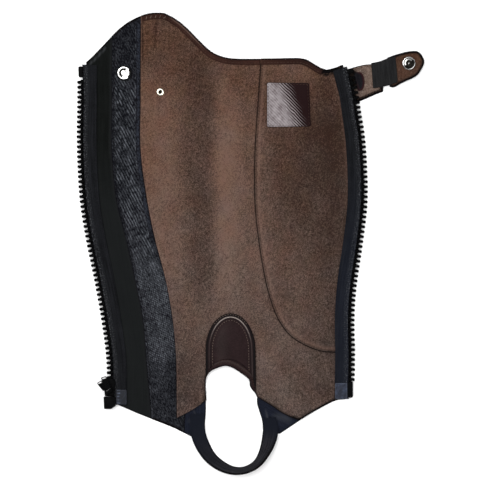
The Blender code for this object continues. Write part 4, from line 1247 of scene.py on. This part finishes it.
TAPE_MIDDLE = 0.55  # how high the middle of a tape is over its underside
TOOTH_PITCH = 5.35
TOOTH_HALF_HEIGHT = 1.9
TOOTH = (
    (-1.2, -2.66, 0.15), (1.6, -2.66, 0.4), (2.7, -0.9, 1.0), (3.3, -1.4, 0.5), (4.4, -1.6, 0.8),
    (5.9, -1.3, 1.1), (5.9, 1.3, 1.1), (4.4, 1.6, 0.8), (3.3, 1.4, 0.5), (2.7, 0.9, 1.0),
    (1.6, 2.66, 0.4), (-1.2, 2.66, 0.15),
)
TOOTH_EDGE = ((0.0, 0.5), (0.2, 0.15), (0.5, 0.0))  # its edges: how far in height, and how far inset
TEETH_RUN_ON = 4.8  # how far the last teeth run on into the slider and the pin
TEETH_END = 1.0  # how far below its packed row's top a row's last tooth may lie
# Each tape's top stop: its width, its length, and how far below its packed place its middle is.
Stop = namedtuple("Stop", "width length drop")
STOPS = {"left": Stop(5.4, 11.6, 2.6), "right": Stop(7.4, 5.2, 0.0)}
STOP_GRIP = 1.1  # how far a stop reaches over the tape


def plan_place(x, y, z, run):
    """Places a plan shape with its own X square to the run of a line, to the line's left."""
    return Matrix((
        (-run[1], run[0], 0.0, x),
        (run[0], run[1], 0.0, y),
        (0.0, 0.0, 1.0, z),
        (0.0, 0.0, 0.0, 1.0),
    ))


def zip_teeth():
    """The moulded teeth along each tape's edge, and the stop above them."""
    top = [(TOOTH_HALF_HEIGHT - down, inset) for down, inset in TOOTH_EDGE]
    tooth = layered(rounded(TOOTH), [(-z, inset) for z, inset in top] + top[::-1])
    for side, run in (("left", LEFT_TAPE[0]), ("right", RIGHT_TAPE[1][::-1])):
        tape = FORMS[f"zip_tape_{side}"]
        low, high = (corner[1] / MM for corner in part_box(f"teeth_{side}"))
        mesh = Mesh()
        for spot, way in zip(*along(run, TOOTH_PITCH)):
            if low - TEETH_RUN_ON < spot[1] < high - TEETH_END:
                z = tape.heights([spot])[0] + TAPE_MIDDLE
                mesh.add(*tooth, place=plan_place(*spot, z, way))
        mesh.fitted(f"teeth_{side}_moulded", ["zip_plastic"], "zip_plastic", f"teeth_{side}")

        low, high = (corner[1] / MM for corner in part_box(f"top_stop_{side}"))
        at = np.argmin(abs(run[:, 1] - (low + high) / 2))
        way = unit(run[at + 1] - run[at - 1])
        stop = STOPS[side]
        out = np.array((-way[1], way[0])) * (stop.width / 2 - STOP_GRIP)
        x, y = run[at] + out - np.array((0.0, stop.drop))
        z = tape.heights([run[at]])[0] + TAPE_MIDDLE
        mesh = Mesh()
        body = layered(block(stop.width, stop.length, 1.6), eased(4.4, 0.8))
        mesh.add(*body, place=plan_place(x, y, z, way))
        bar = layered(block(4.4, 1.0, 0.45), eased(0.8, 0.3))
        mesh.add(*bar, place=plan_place(x, y, z + 2.2, way))
        mesh.fitted(f"top_stop_{side}_moulded", ["zip_plastic"], "zip_plastic", f"top_stop_{side}")


# The slider, the box under it and the pin opposite grip a tape's edge between two plates. Each has
# its middle, its height, how far its plates stand off that middle, and the plans of its plates and
# of the spine between them.
Grip = namedtuple("Grip", "x y high gap plan spine")
GRIPS = {
    "slider": Grip(-151.6, -156.0, 6.4, 1.15, (
        (6.5, 9.4, 3.2), (1.6, 11.4, 2.0), (0.0, 10.2, 1.2), (-1.6, 11.4, 2.0), (-6.5, 9.4, 3.2),
        (-6.0, 0.0, 3.0), (-5.0, -8.5, 1.2), (5.0, -8.5, 1.2), (6.0, 0.0, 3.0),
    ), (
        (0.6, 7.6, 0.6), (-6.0, 6.6, 1.4), (-6.0, -1.0, 1.0), (-4.6, -8.0, 0.8), (-2.2, -8.0, 0.8),
        (-0.6, 2.0, 0.8),
    )),
    "retainer_box": Grip(-151.6, -171.6, 6.0, 0.95, (
        (6.5, 6.6, 1.0), (-6.5, 6.6, 0.8), (-6.0, -6.6, 0.9), (1.6, -6.6, 1.4), (6.5, -3.2, 1.4),
    ), (
        (0.8, 6.3, 0.6), (-6.2, 6.3, 0.6), (-5.7, -6.3, 0.6), (0.8, -6.3, 0.6),
    )),
    "insertion_pin": Grip(107.75, -157.6, 4.6, 0.95, (
        (2.85, 8.8, 0.9), (-2.85, 8.8, 0.9), (-2.85, -7.6, 1.6), (-0.6, -8.8, 1.2), (2.85, -8.0, 1.6),
    ), (
        (2.6, 8.5, 0.6), (-0.2, 8.5, 0.4), (-0.2, -8.0, 0.4), (2.6, -7.8, 0.8),
    )),
}
SLIDER_RIBS = (4.6, -7.0)  # how far ahead of the slider's middle its ribs lie
SLIDER_TOP = 7.65


def gripping(node, extras=()):
    """Two eased plates with a spine between them, and the plates' ribs and lugs."""
    grip = GRIPS[node]
    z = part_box(node)[0][2] / MM + grip.high / 2
    thick = grip.high / 2 - grip.gap
    plate = layered(rounded(grip.plan, 0.6), eased(thick, 0.42 * thick))
    mesh = Mesh()
    for side in (-1, 1):
        mesh.add(*plate, place=Matrix.Translation((grip.x, grip.y, z + side * (grip.gap + thick / 2))))
    spine = layered(rounded(grip.spine, 0.6), eased(2 * grip.gap + 0.8, 0.2))
    mesh.add(*spine, place=Matrix.Translation((grip.x, grip.y, z)))
    for shape, place in extras:
        mesh.add(*shape, place=place)
    mesh.fitted(f"{node}_moulded", ["zip_plastic"], "zip_plastic", node)


HINGE = (-151.2, -159.0, 9.65)
TAB_TURN = radians(33.0)  # how far round from +Y the pull tab lies
NECK_WIDTH = 4.6
LUG_GAP = 0.5
LUG_THICKNESS = 1.3
LUG_FOOT = 1.2 + GRIPS["slider"].high / 2 + GRIPS["slider"].high / 2 - HINGE[2]
LUG = (
    (2.6, LUG_FOOT - 0.5, 0.2), (1.7, 0.9, 0.6), (0.7, 1.3, 0.6), (-0.7, 1.3, 0.6), (-1.7, 0.9, 0.6),
    (-2.6, LUG_FOOT - 0.5, 0.2),
)
EYE = ((1.15, -2.3), (1.15, 2.3), (1.7, 2.3), (1.7, -2.3))
PIN_RADIUS = 0.7
TAB_PLAN = (
    (2.3, 1.2, 0.2), (2.3, 3.2, 0.5), (5.0, 4.4, 0.9), (5.6, 16.0, 1.2), (-0.2, 17.8, 1.0),
    (-0.4, 14.7, 0.4), (-7.0, 15.4, 1.4), (-5.8, 4.4, 0.9), (-2.3, 3.2, 0.5), (-2.3, 1.2, 0.2),
)
TAB_RIBS = ((6.4, 7.8), (7.9, 8.05), (9.4, 8.3), (10.9, 8.55), (12.4, 8.8))  # how far out and how wide
TAB_PLATES = ((-3.7, 13.5, -6), (2.6, 15.3, -17))  # the bright plates' middles and turns
# Small bright metal studs near the hinge that stand in for highlights on its pin and lugs.
TAB_GLINTS = ((-1.9, 2.3), (0.0, 2.3), (1.9, 2.3))
TAB_FACE = 0.95  # how high over the tab's middle its ribs and studs lie
HINGE_PLACE = Matrix.Translation(HINGE) @ Matrix.Rotation(TAB_TURN, 4, "Z")
SIDE_ON = Matrix.Rotation(pi / 2, 4, "Z") @ Matrix.Rotation(pi / 2, 4, "X")
PIN_PLACE = HINGE_PLACE @ SIDE_ON


def zip_mouldings():
    """The slider with its lugs and pin, the box, the insertion pin, and the pull tab."""
    lug = layered(rounded(LUG, 0.3), eased(LUG_THICKNESS, 0.3))
    out = NECK_WIDTH / 2 + LUG_GAP + LUG_THICKNESS / 2
    pin = layered(circle(PIN_RADIUS, 24), eased(NECK_WIDTH + 2 * LUG_GAP + 2 * LUG_THICKNESS + 0.5, 0.25))
    rib = layered(block(8.4, 1.1, 0.5), eased(0.7, 0.3))
    slider = GRIPS["slider"]
    gripping("slider", [
        *[(lug, PIN_PLACE @ Matrix.Translation((0, 0, side * out))) for side in (-1, 1)],
        (pin, PIN_PLACE),
        *[(rib, Matrix.Translation((slider.x, slider.y + y, SLIDER_TOP))) for y in SLIDER_RIBS],
    ])
    gripping("retainer_box")
    gripping("insertion_pin")

    tab = Mesh()
    tab.add(*layered(rounded(TAB_PLAN), eased(1.8, 0.5)), place=HINGE_PLACE)
    tab.add(*lathe(EYE, 40), place=PIN_PLACE)
    for y, width in TAB_RIBS:
        bar = layered(block(width, 1.0, 0.45), eased(0.7, 0.3))
        for side in (-1, 1):
            tab.add(*bar, place=HINGE_PLACE @ Matrix.Translation((0, y, side * TAB_FACE)))
    bright = layered(block(4.4, 1.5, 0.5), eased(2.2, 0.35))
    for x, y, turn in TAB_PLATES:
        middle = HINGE_PLACE @ Matrix.Translation((x, y, 0))
        tab.add(*bright, place=middle @ Matrix.Rotation(radians(turn), 4, "Z"), slot=1)
    # The studs stand in for glints on the hinge.
    stud = layered(circle(0.36, 16), eased(0.6, 0.25))
    for x, y in TAB_GLINTS:
        tab.add(*stud, place=HINGE_PLACE @ Matrix.Translation((x, y, TAB_FACE)), slot=1)
    tab.fitted("pull_tab_grip", ["zip_plastic", "worn_metal_and_glint"], "zip_plastic", "pull_tab", "pull_tab")


# Turned fasteners

# The radius and height of each one's outline above the underside of the sheet that it grips. Its first look
# is the metal, its second the near-black metal of its ranges, each between two radii and two directions in
# degrees: oxide in its hollows, and painted shade on the sides turned from the light and in the eyelet's
# hole.
ALL_ROUND = (-180, 180)
Fastener = namedtuple("Fastener", "looks slot grooves profile")
FASTENERS = {
    "press_stud": Fastener("nickel dark_metal", "nickel", (
        (3.4, 5.3, 55, 180), (3.4, 5.3, -180, -115), (5.5, 6.7, -50, 35),
    ), (
        (0.0, 3.15), (1.1, 3.12), (2.1, 2.98), (2.8, 2.72), (3.25, 2.35), (3.45, 1.95), (3.8, 1.78),
        (4.5, 1.75), (5.0, 1.9), (5.3, 2.35), (5.6, 2.75), (5.95, 2.98), (6.35, 3.0), (6.75, 2.8),
        (7.05, 2.45), (7.2, 2.0), (7.15, 1.72), (6.6, 1.6), (2.6, 1.6), (2.6, -0.3), (6.5, -0.3),
        (6.7, -0.5), (6.5, -0.75), (3.5, -0.9), (3.1, -1.2), (3.2, -1.6), (3.5, -1.9), (3.4, -2.3),
        (2.8, -2.48), (0.0, -2.5),
    )),
    "snap_socket": Fastener("nickel dark_metal", "nickel", (
        (0.6, 3.25, *ALL_ROUND), (4.9, 5.75, *ALL_ROUND), (3.25, 4.9, -145, 45),
    ), (
        (0.0, 2.6), (0.55, 2.6), (0.7, 2.3), (3.0, 2.3), (3.1, 3.3), (3.3, 4.0), (3.65, 4.3),
        (4.1, 4.2), (4.55, 3.8), (4.95, 3.2), (5.15, 2.9), (5.5, 2.9), (5.65, 3.3), (5.9, 3.95),
        (6.3, 4.2), (6.7, 4.05), (7.0, 3.5), (7.1, 2.7), (6.8, 2.1), (2.2, 2.0), (2.2, -0.3),
        (7.1, -0.3), (7.3, -0.6), (7.1, -1.05), (6.2, -1.55), (4.8, -1.9), (3.0, -2.05), (0.0, -2.1),
    )),
    # The eyelet's hole is closed low down and all of it is near-black metal, painted shade in the hole.
    "eyelet": Fastener("brass dark_metal", "brass", ((0.0, 1.9, *ALL_ROUND),), (
        (0.0, 0.6), (0.9, 0.5), (1.75, 0.1), (1.85, 2.3), (2.05, 2.65), (2.4, 2.9), (2.9, 2.98),
        (3.4, 2.85), (3.9, 2.5), (4.2, 2.15), (4.0, 2.0), (2.3, 2.0), (2.3, -0.3), (3.8, -0.3),
        (3.95, -0.5), (3.8, -0.7), (0.0, -0.7),
    )),
}


def fastener(node):
    """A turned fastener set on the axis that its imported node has."""
    looks, slot, oxide_and_shade, profile = FASTENERS[node]
    shape = packed(node)
    points = np.array([vert.co[:] for vert in shape.verts])
    shape.free()
    middle = (points.min(axis=0) + points.max(axis=0)) / 2
    spread = points - points.mean(axis=0)
    axis = Vector(np.linalg.eigh(spread.T @ spread)[1][:, 0])
    if axis.z < 0:
        axis = -axis
    top = max(height for _, height in profile)
    reach = max((Vector(point) - Vector(middle)).dot(axis) for point in points)
    centre = Vector(middle) + axis * (reach - top)
    turn = Vector((0, 0, 1)).rotation_difference(axis).to_matrix().to_4x4()
    mesh = Mesh()
    turned, faces = lathe(profile)
    mesh.add(turned, faces, place=Matrix.Translation(centre) @ turn)
    for i, face in enumerate(faces):
        radius, height = np.mean([(hypot(*turned[k][:2]), turned[k][2]) for k in face], axis=0)
        x, y, _ = np.mean([turned[k] for k in face], axis=0)
        way = degrees(atan2(y, x))
        # The faces in these ranges take the near-black metal.
        for low, high, start, stop in oxide_and_shade:
            if height > 0 and low < radius < high and start <= way <= stop:
                mesh.slots[i] = 1
    mesh.fitted(f"{node}_turned", looks.split(), slot, node, sharp=TURNED_ANGLE)


# Arch, anchors, stirrup band and strap


def arch_leather():
    def patch_relief(spots, edge):
        away = distance_to(spots, PATCH_TOP)
        sewn = bump_at(away, 7.4, 0.8, -0.25) + bump_at(away, 2.2, 0.9, -0.2)
        return bump_at(away, 3.9, 0.5, 0.3) + sewn + 0.5 * eased_in(away, 8.0, 14.0)

    def rim_relief(spots, edge):
        away = distance_to(spots, ARCH_SIDE)
        ridges = bump_at(away, 2.3, 0.9, 0.35) + bump_at(away, 5.2, 0.8, 0.3)
        return ridges + bump_at(edge, 0.0, 0.9, -0.3)

    patch = sheet("arch_patch", patch_relief)
    away = patch.away(PATCH_TOP)
    x, y = patch.spots.T
    # A painted highlight along the raised line, dimmer low down and to the left, and a faint painted sheen
    # in a band left of the middle.
    shown = 0.08 + 0.92 * eased_in(y, -108, -78)
    crest_line = bump_at(away, 3.9, 0.34) * shown * (0.55 + 0.45 * eased_in(x, -48, -30))
    patch.mark(
        crest=crest_line + bump_at(x, -31, 6.0, 0.016) * eased_in(away, 9, 13),
        # Near black at the outer edge, and a painted shade line just inside the raised line.
        edge_paint_and_shade=0.85 * within(away, 3.3) + bump_at(away, 5.3, 0.6, 0.7),
    )
    rim = sheet("arch_rim", rim_relief)
    away = rim.away(ARCH_SIDE)
    # A faint painted highlight on the rim's upper ridge; near black along its cut edge and in a line at its
    # top.
    rim.mark(crest=0.05 * bump_at(away, 5.2, 0.6), edge_paint_and_shade=within(away, 1.4) + 0.6 * bump_at(away, 7.8, 0.7))


# Where each anchor's threads start, and the line that they run square to.
ANCHOR_LINES = {
    "anchor_left": ((-73.0, -215.0), (-73.0, -150.0)),
    "anchor_right": ((0.0, -172.0), (60.0, -205.0)),
}


def anchors():
    for node, line in ANCHOR_LINES.items():
        anchor = sheet(node, lambda spots, edge, node=node: (
            creased(spots, CREASES[node]) + bump_at(edge, 1.2, 0.8, 0.12)
        ))
        anchor.mark_strip(np.array(line))
        # Paler streaks beside the creases.
        anchor.mark(pale=-creased(anchor.spots, ANCHOR_STREAKS))


# The stirrup band, a row for each place along its middle. The flat band is STIRRUP_WIDTH wide, and
# where it shows narrower from above it leans outwards, with its inner edge low.
STIRRUP_WIDTH = 17.5
STIRRUP_THICKNESS = 1.5
STIRRUP = table(
    "x y shown low flat",
    (-56.8, -184.0, 15.0, 1.7, True), (-57.0, -194.0, 15.8, 1.7, True), (-56.6, -203.6, 16.6, 1.7, True),
    (-51.4, -218.4, 14.6, 0.8, False), (-43.6, -230.5, 12.0, 0.0, False), (-31.1, -240.3, 9.9, 0.0, False),
    (-17.0, -245.3, 6.3, 0.0, False), (-3.9, -244.1, 5.6, 0.0, False), (8.5, -236.5, 7.4, 0.0, False),
    (16.0, -224.4, 11.2, 0.2, False), (20.6, -211.0, 16.4, 1.0, False), (22.0, -200.6, 17.4, 1.7, True),
    (20.4, -188.0, 14.0, 1.7, True),
)
BAND_COLUMNS = 14


def evened(values, rounds):
    """A row of numbers or places with each but its ends drawn to its neighbours."""
    for _ in range(rounds):
        values[1:-1] = 0.5 * values[1:-1] + 0.25 * (values[:-2] + values[2:])
    return values


def stirrup_band():
    """The elastic loop under the boot, swept along its middle and leaning out where it bends."""
    rows = np.array([(row.x, row.y) for row in STIRRUP])
    middle = evened(smooth(rows, 1.5, closed=False), 6)
    steps = np.concatenate([[0], np.cumsum(np.linalg.norm(np.diff(middle, axis=0), axis=1))])
    places = measured(rows, middle)[1]
    shown, low, lean = (evened(np.interp(steps, places, values), 40) for values in (
        [row.shown for row in STIRRUP], [row.low for row in STIRRUP],
        [0.0 if row.flat else sqrt(STIRRUP_WIDTH**2 - row.shown**2) for row in STIRRUP],
    ))
    run = unit(np.gradient(middle, axis=0))
    inward = np.stack([-run[:, 1], run[:, 0]], axis=1)
    mesh = Mesh()
    strip, edges = [], []
    columns = np.linspace(0, 1, BAND_COLUMNS)
    count = 2 * BAND_COLUMNS
    for i, (x, y) in enumerate(middle):
        span = Vector((*(-inward[i] * shown[i]), lean[i]))
        lift = span.cross(Vector((*run[i], 0.0))).normalized() * STIRRUP_THICKNESS
        inner = Vector((x, y, low[i])) + Vector((*(inward[i] * shown[i] / 2), 0.0))
        ripple = 0.12 * sin(steps[i] / 2.9)
        for side in (1, 0):
            for t in columns if side else columns[::-1]:
                rim = min(t, 1 - t) * STIRRUP_WIDTH
                thin = 0.5 + 0.5 * min(1.0, (rim / 0.9) ** 0.5)
                crest_line = bump_at(rim, 1.4, 0.9, 0.12) + ripple * min(rim / 3, 1)
                height = 0.5 + (side - 0.5) * thin + (crest_line if side else 0)
                mesh.points.append(inner + span * float(t) + lift * float(height))
                strip.append((t * STIRRUP_WIDTH, steps[i], 0.0))
                edges.append(rim)
    for i in range(len(middle) - 1):
        for k in range(count):
            a, b, n = i * count, (i + 1) * count, (k + 1) % count
            mesh.faces.append([a + k, a + n, b + n, b + k])
    mesh.faces.append(list(range(count)))
    mesh.faces.append([len(middle) * count - 1 - k for k in range(count)])
    mesh.slots = [0] * len(mesh.faces)
    mesh.face_out()
    piece = mesh.fitted("stirrup_band_elastic", ["stirrup_elastic"], "stirrup_elastic", "stirrup_band")
    strip = np.array(strip)
    reach = strip[:, 1]
    mark(piece, "strip", strip)
    mark(piece, "edge", np.array(edges))
    mark(piece, "joined", 1 - np.minimum(eased_in(reach, 8, 75), eased_in(steps[-1] - reach, 8, 34)))


# The middle and reach of a painted shadow on the strap's root, between the teeth and its patch.
STRAP_SHADOW_MIDDLE = np.array((109, 178))
STRAP_SHADOW_REACH = (8, 10)
STRAP_ELASTIC_EDGE = ((129.2, 205.0), (132.6, 164.0))
ACROSS_STRAP = (0.983, 0.184)


def strap():
    """The strap's leather root with its dark patch, its elastic bridge and its leather tip."""
    base = sheet("strap_base", lambda spots, edge: (
        creased(spots, CREASES["strap_base"]) + bump_at(edge, 2.4, 0.8, -0.15)
    ))
    below = base.spots[:, 1] < 175
    # Black edges, wider along the lower side where they are partly edge paint and partly painted shade.
    painted = within(base.edge, 4.3) * below + within(base.edge, 1.5) * ~below
    from_shadow_middle = np.hypot(*((base.spots - STRAP_SHADOW_MIDDLE) / STRAP_SHADOW_REACH).T)
    # Painted shadow beside the patch.
    painted = np.maximum(painted, 0.9 * eased_in(-from_shadow_middle, -1.1, -0.9))
    mark_suede(base, painted, np.zeros(len(painted)), colour=0.7)
    patch = sheet("strap_patch", lambda spots, edge: bump_at(edge, 2.4, 1.0, 0.3))
    patch.mark(crest=0.6 * bump_at(patch.edge, 0.7, 1.0) * eased_in(patch.spots[:, 0], 114, 118))
    bridge = sheet("strap_elastic", lambda spots, edge: (
        0.16 * np.sin(2 * pi * (spots @ ACROSS_STRAP) / 4.4) * eased_in(edge, 0.5, 2.0)
    ))
    bridge.mark_strip(np.array(STRAP_ELASTIC_EDGE))
    tip = sheet("strap_tip", lambda spots, edge: (
        bump_at(edge, 3.2, 0.8, -0.2) + bump_at(from_point(spots, SOCKET), 0, 8.6, -0.3)
    ))
    outer = distance_to(tip.spots, tip.outline, closed=True)
    mark_suede(tip, within(outer, 3.1), np.zeros(len(outer)))


# Label, films and stitches


def small_sheets():
    label = sheet("label", lambda spots, edge: (
        bump_at(edge, 1.6, 0.6, -0.15) + 0.10 * np.sin(spots[:, 0] / 7.0 + spots[:, 1] / 11.0)
    ))
    corner = label.outline.min(axis=0)
    label.mark(strip=np.column_stack([label.spots - corner, np.zeros(len(label.spots))]))
    for node, toothed, tone in (("film_left", LEFT_TAPE[0], 0.12), ("film_right", RIGHT_TAPE[1], 0.50)):
        film = sheet(node, lambda spots, edge: (
            0.06 * np.sin(spots[:, 0] * 2.1) * np.sin(spots[:, 1] * 1.3)
        ))
        film.mark_strip(toothed)
        film.mark(tone=np.full(len(film.spots), tone))


# Parts of the chap, from and to in X and in Y, for rows of stitches that don't run everywhere.
EVERYWHERE = (-999, 999, -999, 999)
LOBE = (-116, -88, -999, 999)
PATCH_HEAD = (-999, 999, -88, 999)


def all_stitches():
    """Every row of stitches: what it is sewn through, its lines, its thread, its slot and how it
    differs from the others. A line is a sheet, its edge, how far in from it the stitches run, and
    the part of the chap that they keep to."""
    label = SHEETS["label"].outline
    base, tip = SHEETS["strap_base"].outline, SHEETS["strap_tip"].outline
    rows = {
        "hem_stitches": ("front_panel calf_panel top_hem_front top_hem_calf", (
            ("front_panel", FRONT_TOP, 4.6), ("calf_panel", CALF_TOP, 4.6),
        ), "brown_thread", "hem_leather", {}),
        "lobe_stitches": ("front_panel top_hem_front", (
            ("front_panel", FRONT_TOP, 4.2, LOBE),
        ), "tan_thread", "hem_leather", {"length": 3.4, "gap": 1.6, "thread": 0.32, "slant": 1.15}),
        "seam_stitches": ("front_panel calf_panel", (
            ("calf_panel", SEAM_SIDE, 2.6),
        ), "brown_thread", "suede", {}),
        "elastic_stitches": ("elastic_panel", (
            ("elastic_panel", FACING_SIDES[1], 2.4),
        ), "black_thread", "elastic", {}),
        "tape_stitches": ("zip_tape_left zip_tape_right", (
            ("zip_tape_left", LEFT_TAPE[1], 2.2),
            ("zip_tape_right", RIGHT_TAPE[0], 2.2),
        ), "black_thread", "zip_tape", {}),
        "patch_stitches": ("arch_patch", (
            ("arch_patch", PATCH_TOP, 7.4), ("arch_patch", PATCH_TOP, 1.3, PATCH_HEAD),
        ), "tan_thread", "dark_leather", {"length": 1.7, "gap": 1.2, "thread": 0.24}),
        "rim_stitches": ("arch_rim", (
            ("arch_rim", ARCH_SIDE, 3.8), ("arch_rim", ARCH_SIDE, 6.3),
        ), "brown_thread", "dark_leather", {"length": 1.9, "gap": 1.1, "thread": 0.24}),
        "label_stitches": ("label", (
            ("label", label, 1.6),
        ), "brown_thread", "label", {"length": 2.2, "gap": 1.2, "thread": 0.16}),
        "strap_stitches": ("strap_base strap_tip", (
            ("strap_tip", tip, 3.2), ("strap_base", base, 2.6),
        ), "brown_thread", "strap_suede", {}),
    }
    for name, (sewn, edges, thread, slot, lay) in rows.items():
        lines = []
        for node, edge, distance, *part in edges:
            left, right, low, high = part[0] if part else EVERYWHERE
            line = SHEETS[node].inwards(edge, distance)
            x, y = line.T
            lines.append(line[(x > left) & (x < right) & (y > low) & (y < high)])
        stitches(name, [SHEETS[node].piece for node in sewn.split()], lines, thread, slot, **lay)


# For each laid sheet, the pieces that it rests on and the pieces that go with it.
LAID = {
    "front_panel": (
        "elastic_panel_cloth anchor_left_webbing anchor_right_webbing",
        "top_hem_front_leather hem_stitches lobe_stitches",
    ),
    "calf_panel": ("front_panel_suede", "top_hem_calf_leather seam_stitches"),
    "elastic_panel": ("", "elastic_stitches"),
    "zip_facing": ("", ""),
    "zip_tape_left": ("zip_facing_cloth", "film_left_melted tape_stitches"),
    "zip_tape_right": ("front_panel_suede calf_panel_suede", "film_right_melted"),
    "arch_patch": ("front_panel_suede", "arch_rim_leather patch_stitches rim_stitches"),
    "anchor_left": ("", ""),
    "anchor_right": ("", ""),
    "strap_base": ("", "strap_patch_leather"),
    "strap_elastic": ("strap_base_leather strap_tip_leather", ""),
    "strap_tip": ("", "strap_stitches"),
    "label": ("calf_panel_suede", "label_stitches"),
}


def build():
    leather_panels()
    elastic_panel()
    zip_facing()
    zip_tapes()
    zip_teeth()
    zip_mouldings()
    for node in FASTENERS:
        fastener(node)
    arch_leather()
    anchors()
    stirrup_band()
    strap()
    small_sheets()
    all_stitches()
    for node, (rests_on, with_pieces) in LAID.items():
        declare(rests_on, with_pieces)


# Studio

FLOOR_Z = -0.15
FLOOR_REACH = 4000
SKY_GLOW = {"From Min": 0.5, "From Max": 0.88, "To Min": 0.1, "To Max": 0.95}  # heights and light
CAMERA_SPOT = (-0.0004, -0.0069)
CAMERA_LENS = 150
CAMERA_VIEW = 0.54  # how many metres of the table the frame shows across
CAMERA_CLIP = (0.1, 20)
FLOOR_TONES = ((0.3, (0.88, 0.88, 0.88, 1)), (0.7, (0.9, 0.9, 0.9, 1)))
# Each light's name, place, size and power.
LIGHTS = (("key", (-0.95, 0.75, 2.0), 2.3, 73), ("fill", (1.3, -0.8, 1.8), 2.0, 32))


def soft_light(name, place, size, power):
    """A square soft light at place, turned to the middle of the table."""
    data = bpy.data.lights.new(name, "AREA")
    data.size = size
    data.energy = power
    light = bpy.data.objects.new(name, data)
    light.location = place
    light.rotation_mode = "QUATERNION"
    light.rotation_quaternion = Vector(place).to_track_quat("Z", "Y")
    bpy.context.scene.collection.objects.link(light)


def studio():
    """A pale floor, soft light mostly from the upper left, and a camera straight above."""
    floor = Mesh()
    corners = ((-1, -1), (1, -1), (1, 1), (-1, 1))
    floor.add([(x * FLOOR_REACH, y * FLOOR_REACH, FLOOR_Z) for x, y in corners], [[0, 1, 2, 3]])
    look = Look("floor", 0.9, 0.1)
    tone = look.ramp(look.noise(400.0, look.place()), *FLOOR_TONES)
    look.set(look.shader, {"Base Color": tone})
    floor.made("floor", ["floor"])

    for light in LIGHTS:
        soft_light(*light)

    world = bpy.data.worlds.new("studio")
    world.use_nodes = True
    tree = world.node_tree
    sky = tree.nodes["Background"]
    sky.inputs["Color"].default_value = (1, 1, 1, 1)
    way = tree.nodes.new("ShaderNodeSeparateXYZ")
    tree.links.new(tree.nodes.new("ShaderNodeTexCoord").outputs["Generated"], way.inputs["Vector"])
    glow = tree.nodes.new("ShaderNodeMapRange")
    glow.interpolation_type = "SMOOTHSTEP"
    for socket, value in SKY_GLOW.items():
        glow.inputs[socket].default_value = value
    tree.links.new(way.outputs["Z"], glow.inputs["Value"])
    tree.links.new(glow.outputs["Result"], sky.inputs["Strength"])
    bpy.context.scene.world = world
    bpy.context.scene.view_settings.view_transform = "Standard"

    data = bpy.data.cameras.new("camera")
    data.lens = CAMERA_LENS
    camera = bpy.data.objects.new("camera", data)
    camera.location = (*CAMERA_SPOT, CAMERA_VIEW * data.lens / data.sensor_width)
    data.clip_start, data.clip_end = CAMERA_CLIP
    bpy.context.scene.collection.objects.link(camera)
    bpy.context.scene.camera = camera


build()
studio()
